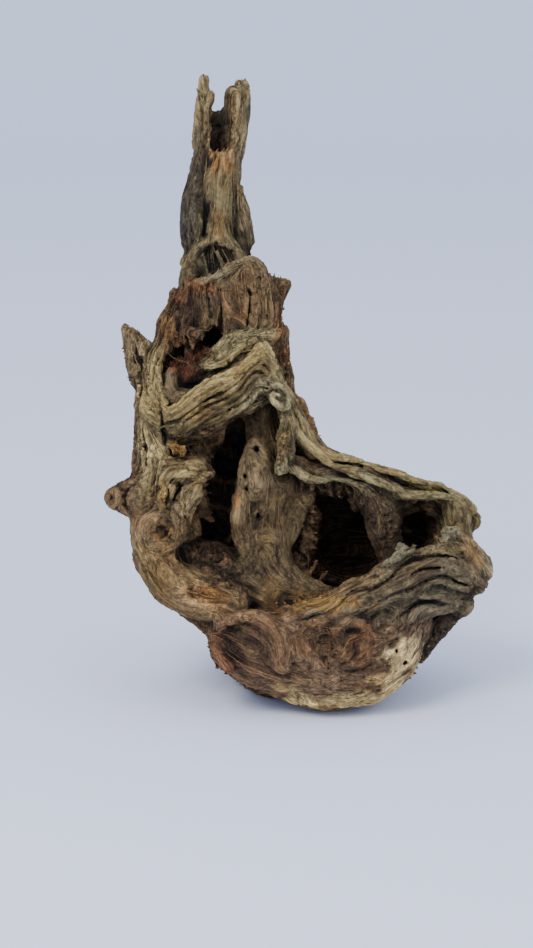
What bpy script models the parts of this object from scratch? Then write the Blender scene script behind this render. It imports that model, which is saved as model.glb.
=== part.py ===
"""A dry, weathered root: a hollow stalk above a gnarled burl with open hollows, all one piece of wood.

The root is drawn upright in its own frame: across (to the right), depth (away from the front) and
height, in millimetres. The whole drawing then leans back by LEAN and stands on a foot cut level.
Run with: blender --background --python part.py
"""

import math

import bmesh
import bpy
from mathutils import Matrix, Vector

MM = 0.001
LEAN = math.radians(12)      # how far the stalk leans back from upright
FOOT_CUT = 9.5 * MM          # how much of the toe the level cut takes off, measured straight up
CENTRE = (-0.8, 30.3)        # across and depth of the row origin once leant back, in millimetres
WOOD_VOXEL = 3.15 * MM        # grid that fuses the limbs into one body
HOLLOW_VOXEL = 3.0 * MM      # grid that fuses the tools that carve the hollows
TUBE_SIDES = 4               # bevel resolution of a limb before it is fused
CAP_STEPS = 3                # rings that round off each end of a limb
TRIANGLES = 9000             # the finished solid's budget

# Each limb is a chain of (across, depth, height, radius), in millimetres.

# The stalk: one old root, about 40 mm thick, with a ridge down its front and dark flanks.
STALK = [
    (-51, 26, 405, 16), (-54, 26, 381, 16), (-56, 24, 363, 16), (-58, 22, 339, 17.5), (-58, 20, 323, 19.5),
    (-57, 18, 302, 20), (-58, 15, 283, 22.5), (-54, 14, 253, 27), (-58, 12, 219, 33),
]
STALK_WALLS = [
    [(-66, 24, 380, 7), (-66, 24, 395, 6), (-65.5, 25, 410, 4.8), (-65, 26, 422, 3.4)],
    [(-44, 24, 376, 6), (-42.5, 26, 395, 7.2), (-41, 27, 408, 7.5), (-40.5, 27, 416, 6)],
    [(-54, 38.5, 376, 6), (-51, 38, 394, 5.6), (-48, 37, 405, 5), (-46, 36, 413, 3.6)],
]
STALK_RIDGES = [
    [(-54, 15, 366, 9), (-54, 13, 352, 10.5), (-54, 11, 338, 10.5), (-54, 8, 324, 8), (-56, 4, 313, 6.5),
     (-67, 2, 305, 5.5), (-75, 4, 298, 5)],
    [(-53, 4, 316, 6), (-45, 3, 308, 5.5), (-38, 6, 300, 5)],
    [(-68, 15, 366, 5), (-70, 12, 350, 6.5), (-71.5, 10, 334, 8), (-72, 9, 320, 8), (-71, 8, 306, 7)],
    [(-41, 14, 348, 4), (-39, 12, 332, 6), (-38, 12, 316, 7.5), (-38, 13, 302, 7)],
]

# The crown: ribs of broken shell that stand round the front and sides of the stalk's foot.
CROWN_RIBS = [
    [(-66, -10, 280, 5), (-64, -15, 262, 6.5), (-60, -14, 240, 8)],
    [(-58, -15, 282, 5), (-56, -19, 264, 6.5), (-52, -17, 240, 8)],
    [(-50, -17, 285, 5), (-47, -22, 266, 6.5), (-44, -19, 240, 9)],
    [(-41, -17, 289, 5.5), (-38, -21, 268, 6.5), (-36, -17, 240, 10)],
    [(-33, -14, 292, 6), (-30, -18, 270, 6.5), (-29, -14, 240, 11)],
    [(-27, -10, 288, 5.5), (-24, -13, 268, 6.5), (-24, -10, 240, 11)],
    [(-11, -4, 281, 4.5), (-15, -6, 272, 5), (-20, -6, 260, 6.5), (-20, -4, 244, 8.5), (-19, -2, 230, 10)],
    [(-13, -2, 253, 4.5), (-14, -3, 243, 5.5), (-14, -2, 232, 6), (-14, 2, 220, 9)],
    [(-70, -12, 281, 4), (-60, -17, 285, 4), (-50, -20, 289, 4.2), (-42, -19, 293, 4.5), (-33, -15, 296, 5)],
    [(-80, 4, 276, 5), (-84, -8, 264, 5.5), (-88, -12, 252, 5.5), (-92, -12, 243, 5.5), (-97, -10, 232, 7)],
    [(-72, -6, 280, 6), (-76, -12, 268, 6.5), (-82, -18, 256, 5), (-88, -20, 246, 4.5), (-93, -18, 236, 4.5)],
    [(-84, 6, 264, 8), (-88, 2, 250, 9), (-90, -2, 236, 9)],
    [(-30, -2, 288, 7), (-28, -2, 268, 9), (-26, 0, 246, 10)],
    [(-42, -8, 284, 8), (-42, -8, 262, 9)],
    [(-74, -14, 262, 6), (-78, -19, 254, 4.5), (-68, -24, 251, 4.5), (-62, -25, 252, 4.5)],
]
STUB = [
    [(-98, -2, 214, 9), (-103, -3, 226, 10.5), (-107, -4, 238, 10), (-109, -4, 246, 7.5)],
    [(-104, -3, 232, 9), (-102, -3, 242, 7)],
    [(-103, 0, 218, 9), (-107, -3, 224, 6)],
]

# The fold: a thick band that crosses the front from the left column up to a hump, then down to the rim.
FOLD = [
    [(-84, -20, 194, 12), (-62, -24, 206, 12), (-38, -20, 226, 13), (-24, -10, 224, 12)],
    [(-103, -19, 208, 7), (-95, -27, 200, 9), (-86, -33, 194, 10.5), (-76, -36, 195, 11), (-66, -38, 201, 11.5),
     (-54, -37, 209, 11.5), (-42, -35, 216, 11.5), (-32, -31, 225, 11.5), (-24, -25, 229, 10),
     (-17, -22, 219, 8.5), (-12, -24, 209, 6.5)],
    [(-93, -30, 185, 7), (-82, -38, 182, 8), (-72, -42, 184, 9), (-60, -43, 190, 9.5), (-48, -42, 198, 9.5),
     (-36, -38, 204, 9), (-25, -33, 208, 8), (-17, -31, 206, 6)],
    [(-60, -31, 231, 6), (-52, -32, 235, 7.5), (-42, -29, 243, 8), (-34, -26, 245, 8), (-26, -20, 247, 8),
     (-19, -14, 250, 6.5)],
    [(-17, -34, 213, 4), (-11, -36, 211, 4.2), (-9, -35, 204, 4.4), (-14, -36, 200, 4)],
]

# The left column, with its nub, its lobe and its burl, and the belly that it ends in.
COLUMN = [
    [(-93, -8, 206, 14), (-92, -12, 180, 16), (-91, -18, 155, 17)],
    [(-103, -6, 206, 8), (-104, -8, 190, 8.5), (-104, -11, 175, 8.5), (-104, -14, 160, 8.5), (-108, -16, 150, 8.5)],
    [(-100, -12, 242, 4), (-102, -15, 228, 4.4), (-103, -18, 214, 5), (-100, -22, 202, 6),
     (-98, -25, 190, 7.5), (-96, -28, 178, 9), (-94, -31, 165, 10), (-94, -33, 150, 10.5), (-97, -30, 140, 10.5)],
    [(-90, -30, 178, 8), (-86, -34, 165, 9.5), (-84, -37, 150, 10.5)],
]
BELLY = [
    (-95, -22, 140, 16), (-93, -28, 125, 17.5), (-92, -30, 110, 18), (-90, -30, 98, 17.5), (-84, -32, 87, 16.5),
    (-74, -36, 79, 15.5), (-62, -42, 74, 14.5), (-48, -48, 72, 12.5),
]
NUB = [(-94, -24, 141, 20), (-104, -23, 142, 16), (-114, -22, 142, 12), (-121, -21, 141, 8.5)]
LOBE = [
    [(-90, -36, 156, 9), (-80, -42, 159, 10.5), (-70, -46, 160, 10), (-62, -45, 157, 8)],
    [(-66, -46, 150, 5.5), (-72, -48, 144, 7), (-78, -48, 133, 7.5), (-80, -45, 120, 7.5)],
]
BURL = [
    [(-103, -42, 116, 5), (-99, -46, 125, 5), (-91, -48, 129, 5), (-83, -46, 125, 5), (-79, -42, 116, 5)],
    [(-92, -42, 120, 10), (-91, -42, 114, 10)],
]

# The foot's front and the lower lip, which runs from the belly under the big hollow to the right end.
FOOT = [
    [(-38, -40, 46, 20), (-14, -44, 38, 27), (16, -42, 33, 31), (42, -34, 41, 33), (60, -26, 58, 28)],
    [(-44, -40, 52, 16), (-30, -48, 50, 18), (-10, -52, 48, 22)],
    [(-56, -42, 55, 6), (-48, -51, 61, 7), (-39, -57, 65, 7.5), (-28, -61, 63, 7.5), (-19, -65, 55, 7.5),
     (-13, -68, 44, 7), (-13, -67, 32, 6)],
]
LIP = [
    [(-17, -52, 64, 7.5), (0, -56, 64, 7.5), (23, -57, 72, 8), (47, -54, 86, 8.5), (70, -48, 99, 8.5),
     (90, -40, 109, 8.5), (106, -33, 108, 9.5), (116, -28, 99, 9.5), (120, -26, 92, 7.5)],
    [(10, -58, 58, 12), (40, -56, 74, 13), (64, -50, 86, 14), (88, -42, 96, 14), (106, -32, 90, 13),
     (114, -28, 84, 9)],
    [(30, -50, 55, 14), (56, -44, 66, 16), (80, -34, 76, 16), (100, -24, 76, 12), (106, -20, 68, 8)],
    [(56, -56, 96, 5), (68, -56, 104, 5), (80, -52, 112, 5), (90, -46, 117, 5), (102, -38, 116, 5.5)],
    [(104, -14, 66, 7), (94, -16, 57, 7), (84, -18, 46, 7), (76, -20, 36, 6)],
]

# The upper rim: from the end of the fold down to the post at the right end.
RIM = [
    [(-12, -24, 212, 6), (-8, -24, 203, 7), (-4, -24, 192, 7), (0, -26, 186, 6), (9, -28, 177, 4.5),
     (24, -30, 170, 4), (33, -30, 168, 4), (44, -30, 162, 4), (53, -29, 158, 4), (66, -28, 155.5, 4),
     (83, -25, 148, 4), (95, -21, 144, 4.2), (107, -14, 137, 5), (114, -6, 126, 6)],
    [(0, -16, 184, 9), (12, -16, 168, 9), (33, -16, 160, 9), (55, -14, 150, 9), (83, -10, 140, 9), (104, -6, 130, 9)],
    [(22, -34, 162.5, 4.5), (36, -35, 160, 4.8), (49, -35, 154.5, 5), (60, -34, 148, 5), (70, -32, 143, 5),
     (82, -30, 141, 5), (96, -25, 141, 4.5), (104, -20, 137, 4.5)],
    [(104, -16, 132, 9.5), (104, -18, 120, 9.5), (106, -22, 110, 9.5)],
]

# The heart of the burl behind the hollows, the back of the right wing and of the neck, the heels
# that it stands on, and the ribs and broken roots down its back.
HEART = [(-68, 14, 105, 40), (-40, 30, 100, 48), (0, 36, 104, 50), (42, 30, 104, 44), (72, 16, 104, 34)]
NECK_LEFT = [(-76, 8, 200, 32), (-76, 10, 160, 36), (-72, 14, 120, 38)]
NECK_RIGHT = [(-34, 12, 214, 30), (-32, 16, 180, 36), (-20, 24, 146, 42)]
WING_BACK = [(10, 14, 142, 34), (44, 12, 130, 32), (72, 8, 120, 28), (96, 0, 110, 20)]
HEELS = [
    [(36, 0, 37, 31), (34, 28, 42, 31), (26, 54, 47, 29)],
    [(-20, 0, 37, 30), (-28, 30, 42, 30), (-26, 54, 46, 28)],
    [(0, 30, 60, 36), (4, 44, 70, 30)],
]
BACK_RIBS = [
    [(-66, 34, 250, 10), (-72, 44, 200, 12), (-74, 52, 150, 13), (-66, 58, 100, 13), (-44, 58, 56, 12)],
    [(-36, 36, 260, 8), (-30, 50, 210, 12), (-22, 62, 160, 13), (-14, 72, 110, 12), (-16, 66, 56, 12)],
    [(0, 40, 180, 9), (22, 52, 150, 12), (34, 66, 112, 12), (30, 64, 60, 12)],
    [(60, 26, 146, 9), (80, 30, 118, 12), (74, 44, 84, 12), (50, 52, 48, 12)],
    [(-90, 8, 200, 9), (-92, 20, 150, 12), (-84, 26, 104, 12), (-58, 24, 66, 13), (-38, 18, 36, 12)],
    [(82, -2, 108, 10), (78, 8, 84, 12), (62, 8, 56, 13), (50, 6, 32, 12)],
]
BACK_STUBS = [
    [(-20, 50, 150, 22), (-14, 66, 168, 13), (-10, 72, 178, 9)],
    [(50, 44, 90, 22), (66, 60, 78, 14), (76, 66, 70, 10)],
]

WOOD = [
    STALK, *STALK_WALLS, *STALK_RIDGES, *CROWN_RIBS, *STUB, *FOLD, *COLUMN, BELLY, NUB, *LOBE, *BURL, *FOOT,
    *LIP, *RIM, HEART, NECK_LEFT, NECK_RIGHT, WING_BACK, *HEELS, *BACK_RIBS, *BACK_STUBS,
]

# Hollows, carved from the fused wood. The stalk is a pipe, open at its top and down its front.
PIPE = [
    [(-53, 24, 440, 9.4), (-53, 24, 400, 9.4), (-54, 22, 379, 8.6)],
    [(-52.5, 2, 440, 9.6), (-52.5, 4, 400, 9.4), (-53, 6, 379, 8.6)],
    [(-52.5, 11, 440, 9.6), (-52.5, 13, 400, 9.4), (-53, 14, 379, 8.6)],
    [(-58, 44, 440, 6), (-58, 44, 414, 6)],
]
CROWN_GAPS = [
    [(-70, -6, 299, 5.5), (-62, -4, 303, 6.5), (-52, -4, 301, 7), (-42, -6, 298, 5.5)],
    [(-60, -6, 300, 6.5), (-57, -5, 290, 7.5), (-52, -8, 283, 6.5)],
    [(-57, -32, 250, 6), (-57, -20, 248, 8), (-56, 0, 246, 9)],
    [(-75, -36, 242, 8), (-72, -18, 242, 10.5), (-68, -4, 242, 10)],
    [(-84, -34, 236, 7), (-81, -18, 235, 8), (-77, -10, 234, 7)],
]
LEFT_HOLLOW = [
    [(-38, -48, 184, 12), (-40, -16, 182, 14), (-44, 4, 176, 12)],
    [(-50, -54, 168, 11.5), (-48, -18, 166, 14), (-52, 6, 164, 12)],
    [(-57, -60, 148, 8), (-54, -24, 146, 12), (-56, 2, 142, 12)],
    [(-58, -62, 130, 9), (-56, -26, 126, 13), (-58, 0, 120, 12)],
    [(-58, -66, 108, 12.5), (-58, -40, 106, 15), (-60, -10, 104, 14)],
    [(-40, -68, 104, 11.5), (-42, -48, 102, 12), (-46, -20, 102, 14)],
]
FRONT_RECESS = [
    [(-24, -60, 184, 11.5), (-22, -46, 174, 13), (-20, -42, 160, 14)],
    [(-28, -66, 150, 17), (-26, -58, 130, 17), (-26, -60, 108, 15)],
    [(-4, -64, 140, 16), (0, -62, 120, 18), (0, -66, 98, 14)],
]
BIG_HOLLOW = [
    [(4, -54, 138, 13), (6, -24, 136, 17), (8, 6, 130, 15)],
    [(26, -58, 134, 15), (26, -24, 132, 19), (26, 14, 126, 20)],
    [(32, -64, 108, 19.5), (32, -26, 108, 25), (32, 20, 108, 24)],
    [(10, -66, 92, 13.5), (10, -34, 92, 19), (12, 6, 94, 20)],
]
WINDOW = [
    [(76, -60, 117, 10.5), (74, -26, 116, 12), (62, 4, 112, 14)],
    [(84, -52, 121, 11), (82, -24, 120, 12), (72, 0, 116, 12)],
]
HOLLOWS = [*PIPE, *CROWN_GAPS, *LEFT_HOLLOW, *FRONT_RECESS, *BIG_HOLLOW, *WINDOW]

# Wood that stands inside the hollows or edges them, and so is added after they are carved.
SEPTUM = [
    [(-27, -12, 202, 9), (-27, -18, 186, 9.5), (-25, -22, 170, 10), (-29, -25, 158, 11), (-34, -28, 147, 11),
     (-37, -30, 136, 10), (-36, -32, 124, 10), (-31, -36, 110, 11), (-27, -39, 96, 12), (-22, -43, 82, 13)],
    [(-14, -20, 152, 11), (-18, -26, 138, 13), (-19, -29, 126, 13), (-19, -34, 112, 13), (-16, -38, 96, 13),
     (-12, -42, 82, 11)],
    [(-40, -40, 86, 9), (-28, -42, 92, 12), (-14, -44, 88, 13), (2, -46, 80, 11), (14, -48, 74, 9)],
    [(-36, -36, 160, 6.5), (-34, -38, 152, 6)],
    [(-2, -14, 140, 10), (8, -8, 126, 10), (6, -12, 108, 11), (0, -22, 92, 11), (-8, -32, 80, 10)],
    [(-12, -10, 156, 9), (4, -6, 154, 10), (20, -4, 154, 10), (34, -4, 150, 8)],
]
HOLLOW_FLOOR = [
    [(-82, -14, 100, 12), (-68, -18, 98, 14), (-54, -24, 96, 14), (-42, -30, 90, 13), (-30, -34, 84, 11)],
    [(-70, -34, 88, 9), (-56, -40, 84, 10), (-42, -44, 80, 10)],
]
CAVE_WOOD = [
    [(-84, -16, 222, 8), (-76, -18, 226, 8.5), (-68, -22, 228, 8), (-60, -26, 230, 6)],
    [(-72, -12, 256, 5), (-71, -14, 245, 5.5), (-70, -16, 235, 6.5)],
    [(-90, -18, 222, 4.5), (-87, -22, 215, 6.5), (-82, -25, 210, 7.5), (-74, -28, 209, 7.5)],
]
TOOTH = [(-8, -34, 192, 5), (-11, -38, 178, 6), (-13, -40, 164, 5.5)]
ROOF_EDGE = [
    (-15, -36, 163, 5), (-5, -34, 163, 6), (8, -33, 159, 6), (24, -31, 158, 5.5), (47, -29, 151, 6),
]
BRIDGE = [
    [(46, -22, 150, 13), (54, -24, 137, 14), (57, -27, 122, 11), (60, -31, 108, 8.5), (62, -36, 95, 7.5)],
    [(40, -20, 146, 9), (36, -16, 138, 7)],
    [(70, -18, 140, 7), (60, -22, 134, 9)],
]
INNER_WOOD = [*SEPTUM, *HOLLOW_FLOOR, *CAVE_WOOD, TOOTH, ROOF_EDGE, *BRIDGE]


def in_row(across, depth, height):
    """A drawn point, in millimetres, leant back and moved to the row frame, in metres."""
    leant = Matrix.Rotation(-LEAN, 3, "X") @ Vector((across, depth, height))
    return (leant - Vector(CENTRE + (0,))) * MM - Vector((0, 0, FOOT_CUT))


def rounded(chain):
    """The chain with its two ends closed by quarter circles."""
    points = [(in_row(*p[:3]), p[3] * MM) for p in chain]

    def cap(end, inner):
        (tip, radius), (before, _) = end, inner
        out = (tip - before).normalized()
        angles = [math.pi / 2 * k / CAP_STEPS for k in range(1, CAP_STEPS + 1)]
        return [(tip + out * radius * math.sin(a), max(radius * math.cos(a), 0.05 * MM)) for a in angles]

    return cap(points[0], points[1])[::-1] + points + cap(points[-1], points[-2])


def tube(chain):
    """A closed tapered tube along the chain."""
    curve = bpy.data.curves.new("limb", "CURVE")
    curve.dimensions = "3D"
    curve.bevel_depth = 1.0
    curve.bevel_resolution = TUBE_SIDES
    curve.use_fill_caps = True
    points = rounded(chain)
    spline = curve.splines.new("POLY")
    spline.points.add(len(points) - 1)
    for point, (place, radius) in zip(spline.points, points):
        point.co = (*place, 1)
        point.radius = radius
    limb = bpy.data.objects.new("limb", curve)
    bpy.context.scene.collection.objects.link(limb)
    return limb


def as_mesh(source):
    """The object's evaluated shape as a new mesh, with the object removed."""
    bpy.context.view_layer.update()
    graph = bpy.context.evaluated_depsgraph_get()
    mesh = bpy.data.meshes.new_from_object(source.evaluated_get(graph))
    bpy.data.objects.remove(source)
    return mesh


def placed(name, mesh):
    obj = bpy.data.objects.new(name, mesh)
    bpy.context.scene.collection.objects.link(obj)
    return obj


def fused(name, chains, voxel, smoothing):
    """One body from many tubes: a voxel remesh joins them, and smoothing softens where they meet."""
    gathered = bmesh.new()
    for chain in chains:
        gathered.from_mesh(as_mesh(tube(chain)))
    mesh = bpy.data.meshes.new(name)
    gathered.to_mesh(mesh)
    gathered.free()
    body = placed(name, mesh)
    remesh = body.modifiers.new("join the limbs", "REMESH")
    remesh.mode = "VOXEL"
    remesh.voxel_size = voxel
    smooth = body.modifiers.new("soften the joins", "SMOOTH")
    smooth.factor = 0.5
    smooth.iterations = smoothing
    return placed(name, as_mesh(body))


def combined(body, other, operation):
    """The Boolean of two bodies, leaving only the first."""
    cut = body.modifiers.new(operation.lower(), "BOOLEAN")
    cut.operation = operation
    cut.object = other
    name = body.name
    mesh = as_mesh(body)
    bpy.data.objects.remove(other)
    return placed(name, mesh)


def largest_shell(mesh):
    """Keeps the outer surface and drops crumbs and sealed voids left by the joins."""
    shape = bmesh.new()
    shape.from_mesh(mesh)
    unseen = set(shape.verts)
    shells = []
    while unseen:
        reached = [unseen.pop()]
        for vert in reached:
            near = {edge.other_vert(vert) for edge in vert.link_edges} & unseen
            unseen -= near
            reached += near
        shells.append(reached)
    shells.sort(key=len)
    loose = [vert for shell in shells[:-1] for vert in shell]
    bmesh.ops.delete(shape, geom=loose, context="VERTS")
    shape.to_mesh(mesh)
    shape.free()


def level_tool():
    """A block whose top face is the plane that the foot is cut to."""
    side, thick = 0.6, 0.2
    shape = bmesh.new()
    down = Matrix.Translation((0, 0, -thick / 2)) @ Matrix.Diagonal((side, side, thick, 1))
    bmesh.ops.create_cube(shape, size=1, matrix=down)
    mesh = bpy.data.meshes.new("level_tool")
    shape.to_mesh(mesh)
    shape.free()
    return placed("level_tool", mesh)


def wood_material():
    material = bpy.data.materials.new("dry wood")
    material.use_nodes = True
    shader = material.node_tree.nodes["Principled BSDF"]
    shader.inputs["Base Color"].default_value = (0.17, 0.12, 0.075, 1)
    shader.inputs["Roughness"].default_value = 0.85
    shader.inputs["Metallic"].default_value = 0.0
    return material


def build():
    for old in list(bpy.data.objects):
        bpy.data.objects.remove(old)
    root = fused("dry_root", WOOD, WOOD_VOXEL, smoothing=4)
    root = combined(root, fused("hollows", HOLLOWS, HOLLOW_VOXEL, smoothing=3), "DIFFERENCE")
    root = combined(root, fused("inner_wood", INNER_WOOD, HOLLOW_VOXEL, smoothing=2), "UNION")
    remesh = root.modifiers.new("even the skin", "REMESH")
    remesh.mode = "VOXEL"
    remesh.voxel_size = WOOD_VOXEL
    root = placed("dry_root", as_mesh(root))
    largest_shell(root.data)
    thin = root.modifiers.new("thin the mesh", "DECIMATE")
    thin.ratio = TRIANGLES / sum(len(face.vertices) - 2 for face in root.data.polygons)
    thin.use_collapse_triangulate = True
    root = combined(placed("dry_root", as_mesh(root)), level_tool(), "DIFFERENCE")
    root.name = "dry_root"
    root.data.materials.clear()
    root.data.materials.append(wood_material())
    root.data.shade_smooth()


build()
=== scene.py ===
"""The looks of the dry root: one old piece of wood, grown limb by limb, hollowed, furrowed and weathered."""

import math

import bpy
import numpy as np
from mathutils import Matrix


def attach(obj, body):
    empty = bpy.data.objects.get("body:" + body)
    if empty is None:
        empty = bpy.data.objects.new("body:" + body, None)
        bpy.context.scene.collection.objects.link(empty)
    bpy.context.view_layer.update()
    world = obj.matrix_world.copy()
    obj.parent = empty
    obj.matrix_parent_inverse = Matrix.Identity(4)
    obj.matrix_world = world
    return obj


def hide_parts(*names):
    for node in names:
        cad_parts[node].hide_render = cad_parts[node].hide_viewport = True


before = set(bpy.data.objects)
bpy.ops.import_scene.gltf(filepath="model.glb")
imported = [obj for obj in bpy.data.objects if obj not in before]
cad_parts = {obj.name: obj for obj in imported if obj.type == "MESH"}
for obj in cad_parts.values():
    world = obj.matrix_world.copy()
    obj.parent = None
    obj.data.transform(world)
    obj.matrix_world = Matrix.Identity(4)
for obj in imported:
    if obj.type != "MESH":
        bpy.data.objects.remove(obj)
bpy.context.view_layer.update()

import openvdb
from mathutils import Matrix, Vector
from mathutils.bvhtree import BVHTree

# 1. The heart, the burl's solid core behind the hollows, with the heels it stands on.
# It is close, heavy wood, hidden from the front and plain behind. Every other limb grows from it.
# The root is drawn in millimetres across (to the right), in depth (away from the front) and up,
# along a stalk that leans back by LEAN, and the drawing is turned into the row's frame at the end.

LEAN = math.radians(12)
FOOT_CUT = 9.5               # millimetres that the level cut takes off the toe
CENTRE = (-0.8, 30.3)        # across and depth of the row's origin, once leant back
PITCH = 1.1
LOW, HIGH = np.array([-136.0, -96.0, -14.0]), np.array([136.0, 104.0, 432.0])
REACH = 14.0                 # how far from a limb its distance is worked out
FAR = 30.0

cells = np.ceil((HIGH - LOW) / PITCH).astype(int) + 1
axes = [LOW[i] + PITCH * np.arange(cells[i]) for i in range(3)]


def spline_basis(values, spacing, low):
    """Weights that spread a coarse row of random values smoothly over these places."""
    place = (values - low) / spacing
    base = np.floor(place).astype(int)
    t = place - base
    weights = [(1 - t) ** 3, 3 * t**3 - 6 * t**2 + 4, -3 * t**3 + 3 * t**2 + 3 * t + 1, t**3]
    table = np.zeros((len(values), base.max() + 4), np.float32)
    for k, w in enumerate(weights):
        table[np.arange(len(values)), base + k] += w / 6
    return table


def swells(spacing, seed):
    """A smooth random field over the whole grid, with swells about this far apart."""
    x, y, z = (spline_basis(a, spacing, low) for a, low in zip(axes, LOW))
    lattice = np.random.default_rng(seed).normal(0, 1, (x.shape[1], y.shape[1], z.shape[1]))
    field = np.tensordot(z, lattice.astype(np.float32), (1, 2))
    field = np.tensordot(y, field, (1, 2))
    return np.tensordot(x, field, (1, 2))


GNARL = ((38, 4.0), (15, 2.2), (7, 0.8))   # spacing and size of the swells that bend every limb
STALK_CALM = 0.45            # the straight stalk bends less
calm = 1 - (1 - STALK_CALM) / (1 + np.exp((300 - axes[2]) / 8)).astype(np.float32)
bend = [calm * sum(size * swells(spacing, 10 * axis + k) for k, (spacing, size) in enumerate(GNARL))
        for axis in range(3)]
bent = [axes[i].astype(np.float32).reshape([-1 if i == k else 1 for k in range(3)]) + bend[i] for i in range(3)]
body = np.full(cells, FAR, np.float32)
limbs = []


def smooth_chain(points, steps=4):
    """The chain's points with a smooth curve run through them."""
    p = np.array(points, float)
    p = np.vstack([2 * p[0] - p[1], p, 2 * p[-1] - p[-2]])
    out = []
    for a, b, c, d in zip(p, p[1:], p[2:], p[3:]):
        for t in np.arange(steps) / steps:
            out.append(0.5 * (2 * b + (c - a) * t + (2 * a - 5 * b + 4 * c - d) * t**2
                              + (3 * b - a - 3 * c + d) * t**3))
    return np.array(out + [p[-2]])


def near(low, high):
    """The block of grid cells between two corners."""
    i = np.clip(np.floor((low - LOW) / PITCH).astype(int), 0, cells - 1)
    j = np.clip(np.ceil((high - LOW) / PITCH).astype(int) + 1, 1, cells)
    return tuple(slice(a, b) for a, b in zip(i, j))


def to_segment(place, a, b, flat=None):
    """Distance from each place to a rod that tapers along its length."""
    ab = b[:3] - a[:3]
    off = [place[i] - a[i] for i in range(3)]
    along = np.clip((off[0] * ab[0] + off[1] * ab[1] + off[2] * ab[2]) / max(ab @ ab, 1e-9), 0, 1)
    off = [off[i] - along * ab[i] for i in range(3)]
    square = off[0] ** 2 + off[1] ** 2 + off[2] ** 2
    if flat is not None:
        side = sum(off[i] * flat[0][i] for i in range(3))
        square = square - side**2 * (1 - 1 / flat[1] ** 2)
    return np.sqrt(np.maximum(square, 0)) - (a[3] + along * (b[3] - a[3]))


def rod_field(chain, flat=None):
    """The block of cells round a chain of rods, and their distance from it."""
    margin = REACH + (chain[:, 3].max() * ((flat[1] if flat else 1) - 1))
    low, high = (chain[:, :3] - chain[:, 3:]).min(0) - margin, (chain[:, :3] + chain[:, 3:]).max(0) + margin
    whole = near(low, high)
    field = np.full([s.stop - s.start for s in whole], FAR, np.float32)
    for a, b in zip(chain, chain[1:]):
        span = np.minimum(a[:3], b[:3]) - max(a[3], b[3]) - margin, np.maximum(a[:3], b[:3]) + max(a[3], b[3]) + margin
        part = tuple(slice(max(p.start, w.start), min(p.stop, w.stop)) for p, w in zip(near(*span), whole))
        inner = tuple(slice(p.start - w.start, p.stop - w.start) for p, w in zip(part, whole))
        field[inner] = np.minimum(field[inner], to_segment([c[part] for c in bent], a, b, flat))
    return whole, field


def blend(a, b, soft):
    """The lesser of two distances, with a fillet where they meet."""
    return np.minimum(a, b) - np.maximum(soft - np.abs(a - b), 0) ** 2 / (4 * soft)


def grow(*chains, soft=4.0, tint=(0.2, 0.15, 0.1), furrow=1.0, flat=None):
    """Adds limbs to the body. tint and furrow are the colour and the depth of grain they bring with them."""
    for points in chains:
        chain = smooth_chain(points)
        whole, field = rod_field(chain, flat)
        body[whole] = blend(body[whole], field, soft)
        limbs.append((chain, np.array(tint), furrow))


def carve(*chains, soft=2.5, tint=None, furrow=1.0, flat=None):
    """Takes limb-shaped hollows out of the body."""
    for points in chains:
        chain = smooth_chain(points)
        whole, field = rod_field(chain, flat)
        body[whole] = -blend(-body[whole], field, soft)
        if tint is not None:
            limbs.append((chain, np.array(tint), furrow))


def sample(field, place):
    """The field's value in the cell nearest to each place."""
    index = np.clip(np.rint((place - LOW) / PITCH).astype(int), 0, cells - 1)
    return field[index[:, 0], index[:, 1], index[:, 2]]


def bent_place(place):
    """Where each place was before the body was bent."""
    return place + np.stack([sample(field, place) for field in bend], -1)


def srgb(red, green, blue):
    """A colour given as the eye sees it, 0 to 255, turned into the light it reflects."""
    return tuple((c / 255) ** 2.2 for c in (red, green, blue))


BACK_BROWN = srgb(120, 98, 72)
grow([(-68, 14, 105, 40), (-40, 30, 100, 48), (0, 36, 104, 50), (42, 30, 104, 44), (72, 16, 104, 34)],
     [(-76, 8, 200, 32), (-76, 10, 160, 36), (-72, 14, 120, 38)],
     [(-34, 12, 214, 30), (-32, 16, 180, 36), (-20, 24, 146, 42)],
     [(10, 14, 142, 34), (44, 12, 130, 32), (72, 8, 120, 28), (96, 0, 110, 20)],
     soft=8, tint=BACK_BROWN)
grow([(36, 0, 37, 31), (34, 28, 42, 31), (26, 54, 47, 29)],
     [(-17, 0, 36, 29), (-24, 30, 41, 29), (-24, 54, 46, 28)],
     [(0, 30, 60, 36), (4, 44, 70, 30)],
     soft=8, tint=BACK_BROWN)
grow([(-20, 50, 150, 22), (-14, 66, 168, 13), (-10, 72, 178, 9)],
     [(50, 44, 90, 22), (66, 60, 78, 14), (76, 66, 70, 10)],
     soft=6, tint=srgb(105, 82, 60))

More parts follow.
